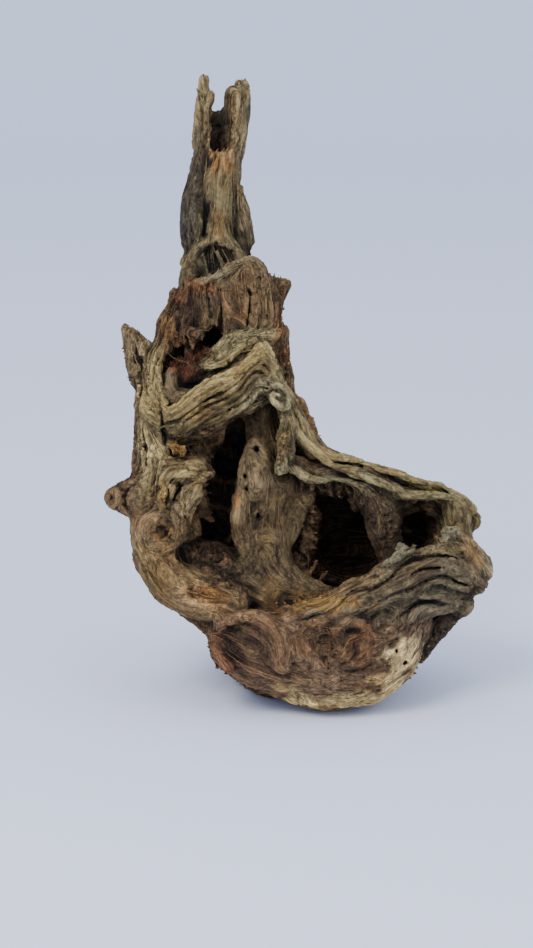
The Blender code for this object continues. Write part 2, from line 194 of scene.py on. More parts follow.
grow([(-66, 34, 250, 10), (-72, 44, 200, 12), (-74, 52, 150, 13), (-66, 58, 100, 13), (-44, 58, 56, 12)],
     [(-36, 36, 260, 8), (-30, 50, 210, 12), (-22, 62, 160, 13), (-14, 72, 110, 12), (-16, 66, 56, 12)],
     [(0, 40, 180, 9), (22, 52, 150, 12), (34, 66, 112, 12), (30, 64, 60, 12)],
     [(60, 26, 146, 9), (80, 30, 118, 12), (74, 44, 84, 12), (50, 52, 48, 12)],
     [(-90, 8, 200, 9), (-92, 20, 150, 12), (-84, 26, 104, 12), (-58, 24, 66, 13), (-38, 18, 36, 12)],
     [(82, -2, 108, 10), (78, 8, 84, 12), (62, 8, 56, 13), (50, 6, 32, 12)],
     soft=9, tint=BACK_BROWN)
carve([(-88, 44, 190, 3), (-88, 50, 140, 4), (-76, 56, 96, 3)],
      [(-50, 62, 190, 3), (-46, 76, 140, 4.5), (-34, 78, 92, 3)],
      [(6, 64, 160, 3), (10, 82, 118, 4.5), (8, 80, 80, 3)], [(58, 52, 122, 3), (58, 66, 90, 4), (44, 68, 60, 3)],
      [(-102, 32, 130, 2.5), (-92, 38, 90, 3.5), (-72, 36, 56, 3)],
      soft=4, tint=srgb(66, 54, 42))

# 2. The stalk, one old root about 40 mm thick that rises out of the crown.
# Its heart has rotted out, so its top is an open pipe with a broken front and two standing walls.
# Its wood is olive-grey and straight-grained, with a smooth ridge down the front and dark flanks.

STALK_OLIVE = srgb(116, 103, 76)
STALK_DARK = srgb(64, 58, 51)
grow([(-51, 26, 405, 15.5), (-54, 26, 381, 15.5), (-56, 24, 363, 15.5), (-58, 22, 339, 17),
      (-58, 20, 323, 19), (-57, 18, 302, 19.5), (-58, 15, 283, 22), (-54, 14, 253, 26), (-58, 12, 219, 32)],
     soft=6, tint=STALK_OLIVE, furrow=0.7)
grow([(-66, 24, 380, 7), (-66.5, 24, 395, 4.8), (-66, 25, 410, 3.6), (-65.2, 26, 423, 2.6)],
     [(-44, 24, 376, 6), (-43, 26, 395, 7.6), (-42, 27, 408, 8), (-41, 27, 417, 6.4)],
     [(-48, 38, 385, 5), (-47, 38, 404, 4.5), (-46, 37, 414, 3)],
     soft=3, tint=STALK_OLIVE, furrow=0.6)
grow([(-54, 15, 366, 9), (-54, 13, 352, 10.5), (-54, 11, 338, 10.5), (-54, 8, 324, 8), (-56, 4, 313, 6.5),
      (-67, 2, 305, 5.5), (-75, 4, 298, 5)],
     [(-53, 4, 316, 6), (-45, 3, 308, 5.5), (-38, 6, 300, 5)],
     soft=5, tint=srgb(120, 108, 80), furrow=0.35)
grow([(-66, 18, 384, 3), (-68, 15, 366, 5), (-70, 12, 350, 6.5), (-71.5, 10, 334, 8), (-72, 9, 320, 8),
      (-71, 8, 306, 7)],
     soft=2.5, tint=STALK_DARK, furrow=0.8)
grow([(-41, 14, 348, 3.5), (-39, 12, 332, 6), (-38, 12, 316, 7.5), (-38, 13, 302, 7)],
     soft=2, tint=srgb(100, 88, 68), furrow=0.8)
carve([(-65, 2, 350, 0.8), (-63, 2, 334, 1.6), (-64, 0, 318, 2.2)],
      [(-42, 4, 350, 0.7), (-42, 4, 334, 1.4), (-42, 2, 318, 1.6)],
      soft=2, tint=srgb(64, 55, 44), flat=((0, 1, 0), 3))
carve([(-53, 24, 436, 8.8), (-53, 24, 400, 8.8), (-54, 22, 379, 8)],
      [(-52.5, 8, 436, 9.5), (-52.5, 11, 400, 9), (-53, 13, 379, 8)],
      [(-58, 32, 436, 7.5), (-58, 34, 408, 7)], [(-58, 44, 436, 9), (-58, 44, 409, 8)],
      soft=1, tint=srgb(92, 76, 56), furrow=1.0)
carve([(-70, -8, 301, 4.5), (-62, -5, 305, 6), (-52, -4, 303, 7), (-41, -6, 298, 5)],
      [(-70, -8, 299, 4.5), (-67, -6, 290, 5), (-64, -8, 282, 5)],
      [(-60, -6, 300, 6), (-57, -5, 290, 7), (-52, -8, 283, 6)],
      [(-48, -6, 300, 5), (-43, -6, 294, 5)],
      soft=1.5, tint=srgb(52, 49, 42))
grow([(-64, 0, 303, 1.8), (-62, -2, 292, 2), (-60, -5, 282, 2)],
     [(-55, 0, 306, 1.8), (-52, -1, 298, 2.2), (-44, -3, 290, 2)],
     soft=1, tint=srgb(96, 90, 74), furrow=0.4)


def torn(path, count, length, thickness, seed, way=(0, 0, 1), tint=(0.1, 0.07, 0.05)):
    """Short broken splinters that stand along an edge."""
    rng = np.random.default_rng(seed)
    line = smooth_chain([(*p, 0) for p in path], 6)[:, :3]
    for _ in range(count):
        k = rng.uniform(0, len(line) - 1.001)
        root_end = line[int(k)] + (k % 1) * (line[int(k) + 1] - line[int(k)])
        lean = np.array(way, float) + rng.normal(0, 0.35, 3)
        tip = root_end + lean / np.linalg.norm(lean) * length * rng.uniform(0.4, 1.3)
        size = thickness * rng.uniform(0.7, 1.3)
        grow([(*(root_end - 0.3 * (tip - root_end)), size), (*tip, 0.35 * size)], soft=1.2, tint=tint, furrow=0.6)


torn([(-67, 25, 408), (-64, 25, 412)], 4, 9, 1.5, 41, tint=STALK_OLIVE)
torn([(-48, 38, 404), (-44, 34, 412), (-38, 27, 413)], 8, 6, 2.0, 42, tint=STALK_DARK)
torn([(-60, 33, 392), (-52, 36, 396)], 6, 6, 1.8, 43, tint=STALK_DARK)
torn([(-59, 8, 366), (-52, 8, 367), (-46, 10, 369)], 5, 5, 1.6, 44, tint=srgb(128, 92, 62))

# 3. The crown, a broken shell of upright ribs round the stalk's foot, with a cave in its left side.
# It is rotten brown heartwood in long fibres, stained orange, under a pale grey-green edge.

CROWN_BROWN = srgb(102, 84, 61)
CROWN_EDGE = srgb(100, 80, 56)
CROWN_RUST = srgb(88, 58, 40)
grow([(-66, -10, 280, 5), (-64, -15, 262, 6.5), (-60, -14, 240, 8)],
     [(-58, -15, 282, 5), (-56, -19, 264, 6.5), (-52, -17, 240, 8)],
     [(-50, -17, 285, 5), (-47, -22, 266, 6.5), (-44, -19, 240, 9)],
     [(-41, -17, 289, 5.5), (-38, -21, 268, 6.5), (-36, -17, 240, 10)],
     [(-33, -14, 292, 6), (-30, -18, 270, 6.5), (-29, -14, 240, 11)],
     [(-27, -10, 288, 5.5), (-24, -13, 268, 6.5), (-24, -10, 240, 11)],
     [(-11, -4, 281, 4.5), (-15, -6, 272, 5), (-20, -6, 260, 6), (-20, -4, 244, 8), (-19, -2, 230, 9)],
     [(-18, -6, 281, 4), (-21, -8, 268, 5.5)],
     [(-13, -2, 253, 4), (-14, -3, 243, 5), (-14, -2, 232, 5), (-14, 2, 220, 8)],
     [(-56, -12, 270, 8), (-44, -14, 274, 9), (-32, -10, 276, 8)], [(-48, -12, 252, 9), (-34, -12, 256, 10)],
     [(-38, -17, 281, 6.5), (-31, -16, 283, 6.5), (-25, -12, 279, 6)], [(-34, -19, 266, 6), (-27, -16, 262, 6)],
     soft=7, tint=CROWN_BROWN, furrow=1.0)
grow([(-70, -12, 281, 3), (-60, -17, 285, 3.2), (-50, -20, 289, 3.6), (-42, -19, 293, 4), (-33, -15, 296, 4.5),
      (-27, -10, 293, 4)],
     soft=1.5, tint=srgb(118, 110, 86), furrow=0.5)
grow([(-80, 4, 276, 5), (-84, -8, 264, 5), (-88, -12, 252, 5), (-92, -12, 243, 5), (-97, -10, 232, 6)],
     [(-72, -6, 280, 6), (-76, -12, 268, 6), (-82, -18, 256, 4.5), (-88, -20, 246, 3.5), (-93, -18, 236, 3.5)],
     [(-74, -14, 262, 6), (-78, -19, 254, 4), (-68, -24, 251, 4), (-62, -25, 252, 4)],
     soft=2, tint=srgb(84, 68, 50), furrow=1.1)
grow([(-30, -2, 288, 7), (-28, -2, 268, 9), (-26, 0, 246, 10)], [(-42, -8, 284, 8), (-42, -8, 262, 9)],
     [(-84, 6, 264, 7), (-88, 2, 250, 7.5), (-90, -2, 236, 7)],
     soft=4, tint=CROWN_BROWN)
carve([(-40, -10, 291, 3.5), (-35, -14, 286, 4), (-32, -19, 281, 3)],
      [(-57, -30, 250, 5), (-57, -20, 248, 7), (-56, 0, 246, 9)],
      [(-75, -34, 242, 7), (-72, -18, 242, 10), (-68, 0, 242, 11)],
      [(-86, -32, 234, 6), (-83, -16, 232, 8.5), (-78, -4, 231, 8)],
      [(-74, -34, 232, 6), (-72, -20, 234, 8), (-70, 0, 236, 8)],
      soft=1.5, tint=srgb(58, 44, 34))
grow([(-72, -12, 256, 5), (-71, -14, 245, 5), (-70, -16, 235, 6)], soft=2, tint=srgb(96, 76, 56), furrow=1.2)
carve([(-53, -28, 276, 0.8), (-51, -28, 264, 1.5), (-51, -28, 248, 1.8)],
      [(-36, -26, 280, 0.5), (-34, -26, 268, 0.9), (-35, -26, 252, 1.1)], [(-60, -26, 274, 1.2), (-59, -26, 262, 0.8)],
      [(-27, -20, 284, 0.9), (-26, -20, 270, 1.2), (-24, -20, 260, 0.8)],
      soft=1, tint=srgb(58, 46, 36), flat=((0, 1, 0), 5))
carve([(-53, -34, 278, 2.2), (-53, -14, 279, 2.0)], soft=1, tint=srgb(40, 30, 24))
grow([(-84, -16, 222, 8), (-76, -18, 226, 8.5), (-68, -22, 228, 8), (-60, -26, 230, 6)],
     soft=2, tint=srgb(84, 56, 42), furrow=1.0)
grow([(-87, -24, 214, 6), (-86, -25, 225, 5)], soft=2, tint=srgb(110, 100, 80), furrow=0.3)
grow([(-90, -18, 222, 4), (-87, -22, 215, 6), (-82, -25, 210, 7), (-74, -28, 209, 7)],
     soft=2.5, tint=srgb(108, 96, 76), furrow=0.25)
torn([(-26, -10, 288), (-20, -8, 283), (-12, -4, 280)], 10, 4, 2.2, 51, (0.3, 0, 1), CROWN_EDGE)
torn([(-12, -4, 278), (-16, -6, 268), (-16, -4, 254), (-14, -2, 240), (-15, 0, 226)], 16, 3, 2.4, 52,
     (1, 0, 0.5), CROWN_EDGE)
torn([(-80, 2, 274), (-86, -8, 260), (-91, -12, 246)], 14, 3.5, 1.8, 53, (-1, -0.4, 0.8), CROWN_EDGE)
torn([(-84, -18, 250), (-74, -24, 247), (-62, -26, 248)], 14, 5, 1.5, 54, (0, -0.2, -1), srgb(104, 78, 54))
torn([(-84, -18, 224), (-74, -23, 226), (-64, -26, 229)], 30, 4, 1.2, 55, (0, -0.6, 1), CROWN_RUST)

# 4. The stub, a short side root that broke off to the left of the crown.
# It is rough, corky and dark, with a blunt torn top.

STUB_DARK = srgb(106, 91, 69)
grow([(-98, -2, 214, 9), (-103, -4, 226, 11), (-106, -6, 237, 10), (-110, -6, 246, 6.5)],
     [(-102, -5, 230, 10), (-99, -5, 237, 6.5)], [(-112, -6, 240, 5), (-115, -6, 252, 2.5)],
     [(-103, -2, 218, 9), (-108, -4, 222, 6)], [(-104, -12, 240, 4.5), (-101, -13, 234, 4), (-106, -13, 229, 4)],
     [(-109, -11, 236, 4), (-110, -11, 226, 3.5)],
     soft=1.5, tint=STUB_DARK, furrow=0.9)
carve([(-107, -18, 247, 1.5), (-107, -15, 238, 2), (-104, -15, 222, 1.5)],
      [(-100, -16, 240, 1.2), (-99, -16, 228, 1.5)],
      [(-108, -14, 232, 2.5), (-106, -14, 232, 2)], soft=1, tint=srgb(52, 44, 36))
torn([(-114, -4, 244), (-108, -5, 247), (-102, -4, 242)], 18, 4.5, 2.0, 61, tint=STUB_DARK)
torn([(-114, -4, 242), (-112, -4, 228), (-106, -4, 216)], 12, 3, 2.0, 62, (-1, -0.3, -0.2), STUB_DARK)

# 5. The fold, where the wood turned over itself: a thick band of strands across the front.
# It is hard, pale, grey-green sapwood in wavy layers, and it ends in a curled knob on the right.

FOLD_PALE = srgb(142, 130, 98)
grow([(-84, -20, 194, 12), (-62, -24, 206, 12), (-38, -20, 226, 13), (-24, -10, 224, 12)],
     soft=4, tint=FOLD_PALE)
grow([(-99, -19, 204, 6), (-88, -26, 193, 9), (-77, -31, 192, 10), (-64, -34, 200, 11), (-52, -34, 209, 11),
      (-40, -32, 215, 11), (-30, -28, 223, 11), (-22, -22, 225, 9)],
     [(-86, -30, 182, 6), (-74, -36, 184, 8), (-62, -37, 190, 9), (-50, -36, 198, 9), (-36, -33, 205, 9),
      (-25, -28, 209, 7)],
     soft=3, tint=srgb(96, 80, 58))
FOLD_TOP = ((-106, -18, 214), (-99, -26, 205), (-90, -34, 200), (-79, -40, 202), (-69, -43, 210), (-59, -43, 218),
            (-45, -41, 222), (-36, -38, 227), (-31, -35, 236), (-25, -31, 241), (-19, -27, 233), (-14, -24, 220),
            (-10, -23, 209))
FOLD_FOOT = ((-98, -26, 198), (-93, -34, 187), (-86, -42, 179), (-76, -48, 180), (-67, -51, 186), (-57, -51, 193),
             (-45, -49, 198), (-37, -45, 202), (-32, -42, 206), (-27, -39, 210), (-22, -37, 210), (-18, -36, 207),
             (-14, -35, 204))
STRANDS = 8
rng = np.random.default_rng(70)
for k in range(STRANDS):     # thin layers of wood, one over the other, that wave together
    share = k / (STRANDS - 1)
    line = (1 - share) * np.array(FOLD_TOP) + share * np.array(FOLD_FOOT)
    line[:, 1] -= 4.5 * math.sin(math.pi * share)
    line += rng.normal(0, 0.4, line.shape)
    radii = 3.4 * rng.uniform(0.8, 1.15) * rng.uniform(0.9, 1.1, len(line)) * np.linspace(1, 0.8, len(line))
    pale = 1.13 - 0.5 * share + rng.uniform(-0.1, 0.1)
    grow(np.hstack([line, radii[:, None]]), soft=0.9, furrow=0.55,
         tint=srgb(140 * pale, 124 * pale, 86 * pale))
for share in (0.2, 0.42, 0.6, 0.78, 0.93):     # and the dark seams between them
    line = (1 - share) * np.array(FOLD_TOP) + share * np.array(FOLD_FOOT)
    line[:, 1] -= 4.5 * math.sin(math.pi * share) + 3.0
    line = line[rng.integers(0, 3):len(line) - rng.integers(0, 3)] + rng.normal(0, 0.7, 3)
    carve(np.hstack([line, rng.uniform(0.5, 1.1, (len(line), 1))]), soft=0.8, furrow=0.6, tint=srgb(58, 46, 32),
          flat=((0, 1, 0), 3))
grow([(-60, -31, 231, 5), (-52, -32, 235, 7), (-42, -29, 243, 7.5), (-34, -26, 245, 7.5), (-26, -20, 247, 7.5),
      (-19, -14, 250, 6)],
     [(-54, -34, 236, 3), (-50, -36, 240, 3.5), (-47, -34, 246, 3)],
     soft=1.5, tint=srgb(134, 124, 92))
grow([(-19, -38, 212, 2.6), (-14, -41, 213.5, 2.8), (-9.5, -41, 210, 2.8), (-8.5, -41, 204, 2.8),
      (-13, -42, 200, 2.8), (-17.5, -42, 203, 2.2), (-17, -42, 207.5, 2), (-13.5, -43, 208, 2)],
     soft=1, tint=srgb(130, 120, 88), furrow=0.4)
grow([(-14, -40, 207, 3.4), (-13, -40, 203.5, 3.4)], soft=2.5, tint=srgb(104, 92, 66))
grow([(-7, -14, 205, 5), (-2, -14, 203, 5), (1, -15, 198, 4)], [(3, -17, 190, 4), (5, -18, 187, 3)],
     soft=1.5, tint=srgb(128, 108, 78), furrow=0.4)
carve([(-42, -38, 236, 0.6), (-36, -38, 240, 1.1), (-33, -36, 247, 1.1), (-27, -32, 246, 1.1), (-25, -30, 238, 1.0),
       (-20, -28, 234, 0.9), (-17, -26, 226, 0.7)],
      [(-30, -38, 232, 0.6), (-26, -34, 229, 1.1), (-21, -32, 228, 1.0), (-18, -30, 222, 0.8)],
      [(-50, -42, 228, 0.6), (-43, -42, 232, 1.0), (-37, -40, 236, 0.7)],
      soft=1, tint=srgb(54, 48, 38), flat=((0, 1, 0), 4))
carve([(-88, -44, 182, 1.5), (-78, -50, 178, 2.5), (-70, -52, 180, 2)],
      [(-72, -52, 184, 1.2), (-60, -54, 188, 1.8), (-48, -52, 194, 1.4)],
      soft=1.5, tint=srgb(50, 40, 30), flat=((0, 1, 0), 3))
torn([(-8, -14, 208), (-1, -14, 206), (2, -15, 198), (5, -17, 190), (6, -18, 185)], 22, 3, 1.8, 71,
     (1, 0, 0.4), srgb(118, 94, 66))

# 6. The left column, which comes down from the fold to the belly, with a lobe, a nub and a burl eye.
# It is tan sapwood, silvery on its ridges and dark brown on its outer flank.

COLUMN_TAN = srgb(162, 145, 109)
BELLY_TAN = srgb(138, 115, 83)
grow([(-93, -8, 206, 14), (-92, -12, 180, 16), (-91, -18, 155, 17)], soft=5, tint=COLUMN_TAN)
grow([(-103, -6, 206, 8), (-104, -8, 190, 8), (-104, -11, 175, 8), (-104, -14, 160, 8), (-108, -16, 150, 8)],
     soft=1.5, tint=srgb(82, 66, 54))
grow([(-100, -12, 242, 3.2), (-102, -15, 228, 3.6), (-103, -18, 214, 4.5), (-100, -22, 202, 5.5),
      (-98, -25, 190, 7), (-96, -28, 178, 8.5), (-94, -31, 165, 9.5), (-94, -33, 150, 10), (-97, -30, 140, 10)],
     [(-92, -18, 240, 3), (-97, -20, 232, 3.4), (-98, -22, 222, 4), (-96, -26, 212, 5), (-92, -30, 204, 5)],
     soft=1.5, tint=srgb(164, 147, 106))
grow([(-90, -30, 178, 8), (-86, -34, 165, 9), (-84, -37, 150, 10)], soft=3, tint=COLUMN_TAN, furrow=0.6)
grow([(-95, -22, 140, 16), (-93, -28, 125, 17), (-92, -30, 110, 17.5), (-90, -30, 98, 17), (-84, -32, 87, 16),
      (-74, -36, 79, 15), (-62, -42, 74, 14), (-48, -48, 72, 12)],
     soft=5, tint=BELLY_TAN, furrow=0.5)
grow([(-94, -24, 141, 20), (-104, -23, 142, 16), (-114, -22, 142, 11.5), (-121, -21, 141, 8)],
     soft=4, tint=srgb(108, 90, 68), furrow=0.6)
grow([(-122, -26, 147, 2), (-125, -24, 143, 2), (-124, -24, 137, 2), (-120, -29, 135, 2), (-117, -31, 140, 2),
      (-119, -30, 146, 2)], soft=1, tint=srgb(120, 98, 74), furrow=0.4)
carve([(-125, -30, 141, 1.6), (-118, -24, 141, 1.4)], soft=1, tint=srgb(60, 48, 38))
carve([(-106, -38, 152, 0.8), (-111, -35, 149, 1.5), (-113, -34, 141, 1.6), (-111, -36, 133, 1.3),
       (-106, -40, 128, 0.7)],
      [(-123, -20, 152, 0.8), (-119, -30, 149, 1.2), (-115, -34, 146, 1.0)],
      soft=1.5, tint=srgb(66, 53, 41), flat=((0, 1, 0), 2))
grow([(-90, -36, 156, 9), (-80, -42, 159, 10), (-70, -46, 160, 9.5), (-62, -45, 157, 7.5)],
     soft=2, tint=srgb(144, 128, 92), furrow=0.6)
grow([(-66, -46, 150, 5), (-72, -48, 144, 6.5), (-78, -48, 133, 7), (-80, -45, 120, 7)],
     [(-84, -44, 146, 6), (-88, -45, 136, 6), (-92, -44, 128, 5)],
     soft=1.5, tint=srgb(118, 102, 76))
for reach, height, size in ((12, 13, 3.2), (7, 7, 2.6)):      # the burl's eye, in rings
    grow([(-91 - reach, -42, 114, size), (-91 - 0.7 * reach, -46, 119 + 0.5 * height, size),
          (-91, -48, 119 + 0.75 * height, size), (-91 + 0.7 * reach, -46, 119 + 0.5 * height, size),
          (-91 + reach, -42, 114, size)], soft=2, tint=srgb(110, 91, 69), furrow=0.5)
carve([(-82, -50, 176, 4), (-70, -52, 179, 6), (-58, -50, 178, 7)],
      [(-82, -40, 172, 5), (-70, -42, 174, 6)], soft=1.5, tint=srgb(64, 52, 40))
carve([(-104, -47, 108, 1.2), (-98, -49, 107, 1.8), (-94, -50, 107, 1.2)], soft=1)
carve([(-104, -20, 236, 0.8), (-106, -20, 216, 1.2), (-104, -26, 196, 1.3), (-102, -30, 176, 1.4),
       (-101, -34, 158, 1.0)],
      [(-97, -26, 232, 0.8), (-96, -32, 216, 1.1), (-92, -38, 200, 1.2), (-90, -40, 184, 1.3), (-88, -44, 168, 0.9)],
      [(-88, -48, 166, 0.8), (-90, -50, 154, 1.2), (-86, -52, 146, 1.2), (-88, -52, 134, 0.9)],
      soft=1, tint=srgb(60, 50, 40), flat=((0, 1, 0), 4))
torn([(-84, -46, 176), (-76, -48, 172)], 8, 4, 2.2, 81, (0.6, -0.2, -0.6), srgb(150, 116, 74))

# 7. The lip and the foot, the heavy lower rim that runs from the belly under the big hollow to the right end.
# The foot is reddish-brown and swirled, and fresh pale wood shows where its underside was trimmed.

LIP_GREY = srgb(100, 90, 72)
FOOT_BROWN = srgb(117, 94, 74)
grow([(-38, -40, 46, 20), (-14, -44, 38, 27), (16, -42, 33, 31), (42, -34, 41, 33), (60, -26, 58, 28)],
     soft=6, tint=FOOT_BROWN, furrow=0.5)
grow([(-44, -40, 52, 16), (-30, -48, 50, 18), (-10, -52, 48, 22)], soft=5, tint=FOOT_BROWN, furrow=0.5)
grow([(-17, -52, 64, 7), (0, -56, 64, 7), (23, -57, 72, 7.5), (47, -54, 86, 8), (70, -48, 99, 8),
      (90, -40, 109, 8), (106, -33, 108, 9), (116, -28, 99, 9), (120, -26, 92, 7)],
     soft=2.5, tint=srgb(134, 112, 80), furrow=0.8)
grow([(10, -58, 58, 12), (40, -56, 74, 13), (64, -50, 86, 14), (88, -42, 96, 14), (106, -32, 90, 13),
      (114, -28, 84, 9)],
     soft=3, tint=LIP_GREY, furrow=0.6)
grow([(30, -50, 55, 14), (56, -44, 66, 16), (80, -34, 76, 16), (100, -24, 76, 12), (106, -20, 68, 8)],
     soft=3, tint=LIP_GREY, furrow=0.6)
grow([(56, -58, 96, 3.5), (68, -58, 104, 4), (80, -54, 112, 4), (90, -48, 117, 4.5), (102, -38, 116, 5)],
     [(66, -56, 108, 3), (74, -52, 114, 3.5), (84, -46, 119, 3)],
     [(118, -28, 104, 5), (122, -28, 98, 5), (121, -28, 92, 5)],
     soft=1.5, tint=srgb(112, 108, 90), furrow=0.7)
carve([(4, -68, 60, 0.8), (20, -71, 67, 1.3), (34, -69, 79, 1.5), (52, -68, 84, 1.7), (66, -62, 95, 1.6),
       (86, -55, 103, 1.7), (104, -44, 101, 1.1)],
      [(22, -70, 55, 0.8), (40, -70, 62, 1.4), (56, -68, 75, 1.6), (74, -60, 80, 1.8), (92, -54, 89, 1.7),
       (110, -40, 83, 1.0)],
      [(40, -66, 50, 0.8), (60, -62, 60, 1.5), (78, -52, 71, 1.6), (100, -38, 69, 1.0)],
      [(72, -62, 88, 0.8), (90, -54, 95, 1.2), (112, -38, 92, 0.8)],
      soft=0.8, furrow=0.5, tint=srgb(56, 48, 39), flat=((0, 1, 0), 3))
grow([(104, -14, 66, 7), (94, -16, 57, 7), (84, -18, 46, 7), (76, -20, 36, 6)], soft=1.5, tint=srgb(72, 60, 50))
grow([(-56, -46, 55, 5), (-48, -55, 61, 5.5), (-39, -61, 65, 6), (-28, -65, 63, 6), (-19, -69, 55, 6),
      (-13, -72, 44, 6), (-13, -71, 32, 5)],
     [(22, -68, 52, 3), (30, -68.5, 58, 3.5), (39, -66.5, 57, 3.5), (44, -63.5, 49, 3.5), (41, -65, 40, 3.5),
      (33, -69, 36, 3.5), (26, -70, 40, 3)],
     soft=4, tint=srgb(108, 86, 66), furrow=0.6)
grow([(-56, -48, 50, 3.5), (-52, -56, 42, 3.5), (-46, -62, 32, 3.5)], [(-48, -60, 52, 2.5), (-42, -66, 40, 3)],
     soft=3, tint=srgb(112, 80, 58), furrow=0.6)
# Painted shade: the pocket in the foot's ring and its groove are carved and given a dark tint where shade falls in
# them.
carve([(-46, -60, 56, 3), (-39, -66, 51, 5), (-32, -70, 45, 6), (-26, -72, 38, 5)],
      [(-50, -58, 54, 1.5), (-45, -64, 43, 2), (-38, -68, 35, 2.5)],
      soft=3, tint=srgb(50, 39, 31))
carve([(-74, -54, 80, 4.5), (-64, -58, 79, 6), (-54, -62, 79, 5)], soft=1.5, tint=srgb(132, 96, 64))
carve([(-74, -54, 88, 1.2), (-62, -57, 88, 1.6), (-50, -60, 88, 1.2)], soft=1, flat=((0, 1, 0), 4),
      tint=srgb(60, 46, 36))
torn([(104, -18, 62), (92, -20, 52), (82, -24, 40), (72, -28, 26)], 16, 3.0, 1.8, 92, (0.6, 0, -0.7),
     srgb(66, 56, 46))
carve([(61, -64, 44, 1.2), (63, -50, 42, 2.0)], [(70, -60, 33, 1.8), (68, -46, 35, 1.2)],
      [(-50, -64, 47, 1.2), (-44, -66, 40, 1.4), (-41, -70, 30, 1.2)],
      [(8, -80, 30, 1.0), (22, -80, 22, 1.5), (40, -76, 18, 1.2)], soft=1, tint=srgb(50, 40, 32))

# 8. The upper rim, two thin strips of hard sapwood with crevices between them, darkened with painted shade.
# They run from the fold's end down to the right, where they meet the lip.

RIM_GREEN = srgb(130, 120, 90)
CREVICE_SHADE = srgb(30, 26, 21)
grow([(-12, -24, 212, 6), (-8, -24, 203, 7), (-4, -24, 192, 7), (0, -26, 185, 6), (8, -24, 174, 6)],
     [(0, -16, 184, 8), (12, -16, 168, 8), (33, -16, 161, 8), (55, -14, 151, 8), (83, -10, 141, 8), (104, -6, 131, 8),
      (113, -6, 124, 7)],
     soft=3, tint=srgb(120, 106, 78))
grow([(-3, -27, 196, 4), (3, -29, 184, 4), (9, -31, 177, 3.2), (16, -33, 172, 2.8), (24, -34, 170.5, 2.6),
      (33, -34, 169.5, 2.6), (44, -34, 163, 2.6), (53, -33, 159.5, 2.6), (66, -32, 157, 2.6), (83, -29, 149, 2.8),
      (95, -25, 145.5, 3), (107, -18, 139, 3.5), (113, -12, 132, 4)],
     [(24, -26, 170.5, 3), (44, -26, 163, 3), (66, -24, 156.5, 3), (83, -21, 148.5, 3.2), (95, -17, 145, 3.4)],
     soft=1.5, tint=srgb(138, 124, 88), furrow=0.5)
grow([(-10, -32, 204, 3), (-8, -34, 192, 3.4), (-1, -35, 181, 3.2), (8, -36, 174, 2.8), (16, -37, 167, 2.4)],
     soft=1.5, tint=srgb(136, 122, 88), furrow=0.5)
grow([(20, -37, 163, 3.4), (36, -38, 160.5, 4), (49, -38, 154.5, 4.2), (60, -37, 148, 4.2), (70, -35, 143, 4.2),
      (82, -33, 141.5, 4), (96, -28, 141.5, 3.8), (106, -20, 137, 4)],
     soft=1.5, tint=RIM_GREEN, furrow=0.6)
# Painted shade: the crevices between the strips are carved and given a near-black colour.
carve([(22, -40, 167.5, 1.2), (36, -40, 166, 1.7), (50, -39, 158.6, 1.7), (62, -38, 153.5, 2), (76, -35, 149, 2.3),
       (88, -32, 146, 2.3), (98, -27, 143, 1.6)],
      [(60, -42, 141, 2.2), (70, -40, 136.5, 3), (84, -38, 135.5, 3.4), (98, -32, 136, 2.8)],
      [(-3, -40, 178, 1.6), (5, -40, 168, 2.8), (15, -40, 161.5, 3.2), (27, -40, 157.5, 2.4)],
      soft=0.8, tint=CREVICE_SHADE, flat=((0, 1, 0), 4), furrow=0.3)
grow([(104, -16, 130, 9), (104, -18, 120, 9), (106, -22, 110, 9)], soft=4, tint=srgb(126, 112, 84), furrow=0.6)

# 9. The hollows, two great openings that rot left behind the rim, and what still stands inside them.
# The walls are dark, soft brown wood in torn fibres. A pitted septum parts the two hollows.

DARK_WOOD = srgb(70, 56, 44)
carve([(-38, -46, 184, 12), (-40, -16, 182, 14), (-44, 4, 176, 12)],
      [(-50, -52, 168, 11), (-48, -18, 166, 14), (-52, 6, 164, 12)],
      [(-57, -58, 148, 7), (-54, -24, 146, 12), (-56, 2, 142, 12)],
      [(-58, -58, 130, 8), (-56, -26, 126, 13), (-58, 0, 120, 12)],
      [(-58, -64, 108, 12), (-58, -40, 106, 15), (-60, -10, 104, 14)],
      [(-40, -66, 104, 11), (-42, -48, 102, 12), (-46, -20, 102, 14)],
      [(-76, -58, 104, 5), (-74, -40, 104, 7), (-70, -20, 104, 9)],
      soft=2.5, tint=DARK_WOOD)
carve([(-24, -60, 184, 11), (-22, -46, 174, 13), (-20, -42, 160, 14)],
      [(-28, -66, 150, 17), (-26, -58, 130, 17), (-26, -60, 108, 15)],
      [(-4, -64, 140, 16), (0, -62, 120, 18), (0, -66, 98, 14)],
      soft=2.5, tint=DARK_WOOD)
carve([(4, -54, 138, 13), (6, -24, 136, 17), (8, 6, 130, 15)],
      [(26, -58, 134, 15), (26, -24, 132, 19), (26, 14, 126, 20)],
      [(32, -64, 108, 19), (32, -26, 108, 25), (32, 20, 108, 24)],
      [(10, -66, 92, 13), (10, -34, 92, 19), (12, 6, 94, 20)],
      [(76, -60, 117, 10), (74, -26, 116, 12), (62, 4, 112, 14)],
      [(84, -50, 121, 11), (82, -24, 120, 12), (72, 0, 116, 12)],
      soft=2.5, tint=DARK_WOOD)
SEPTUM_BROWN = srgb(106, 90, 65)
grow([(-82, -14, 100, 12), (-68, -18, 98, 14), (-54, -24, 96, 14), (-42, -30, 90, 13), (-30, -34, 84, 11)],
     [(-70, -34, 88, 9), (-56, -40, 84, 10), (-42, -44, 80, 10)],
     soft=4, tint=srgb(92, 72, 52), furrow=1.3)
grow([(-12, -10, 156, 9), (4, -6, 154, 10), (20, -4, 154, 10), (34, -4, 150, 8)],
     [(-4, -12, 140, 8), (4, -3, 126, 7), (2, -5, 108, 7), (-2, -20, 92, 9), (-8, -32, 80, 10)],
     soft=5, tint=srgb(76, 58, 42), furrow=1.2)
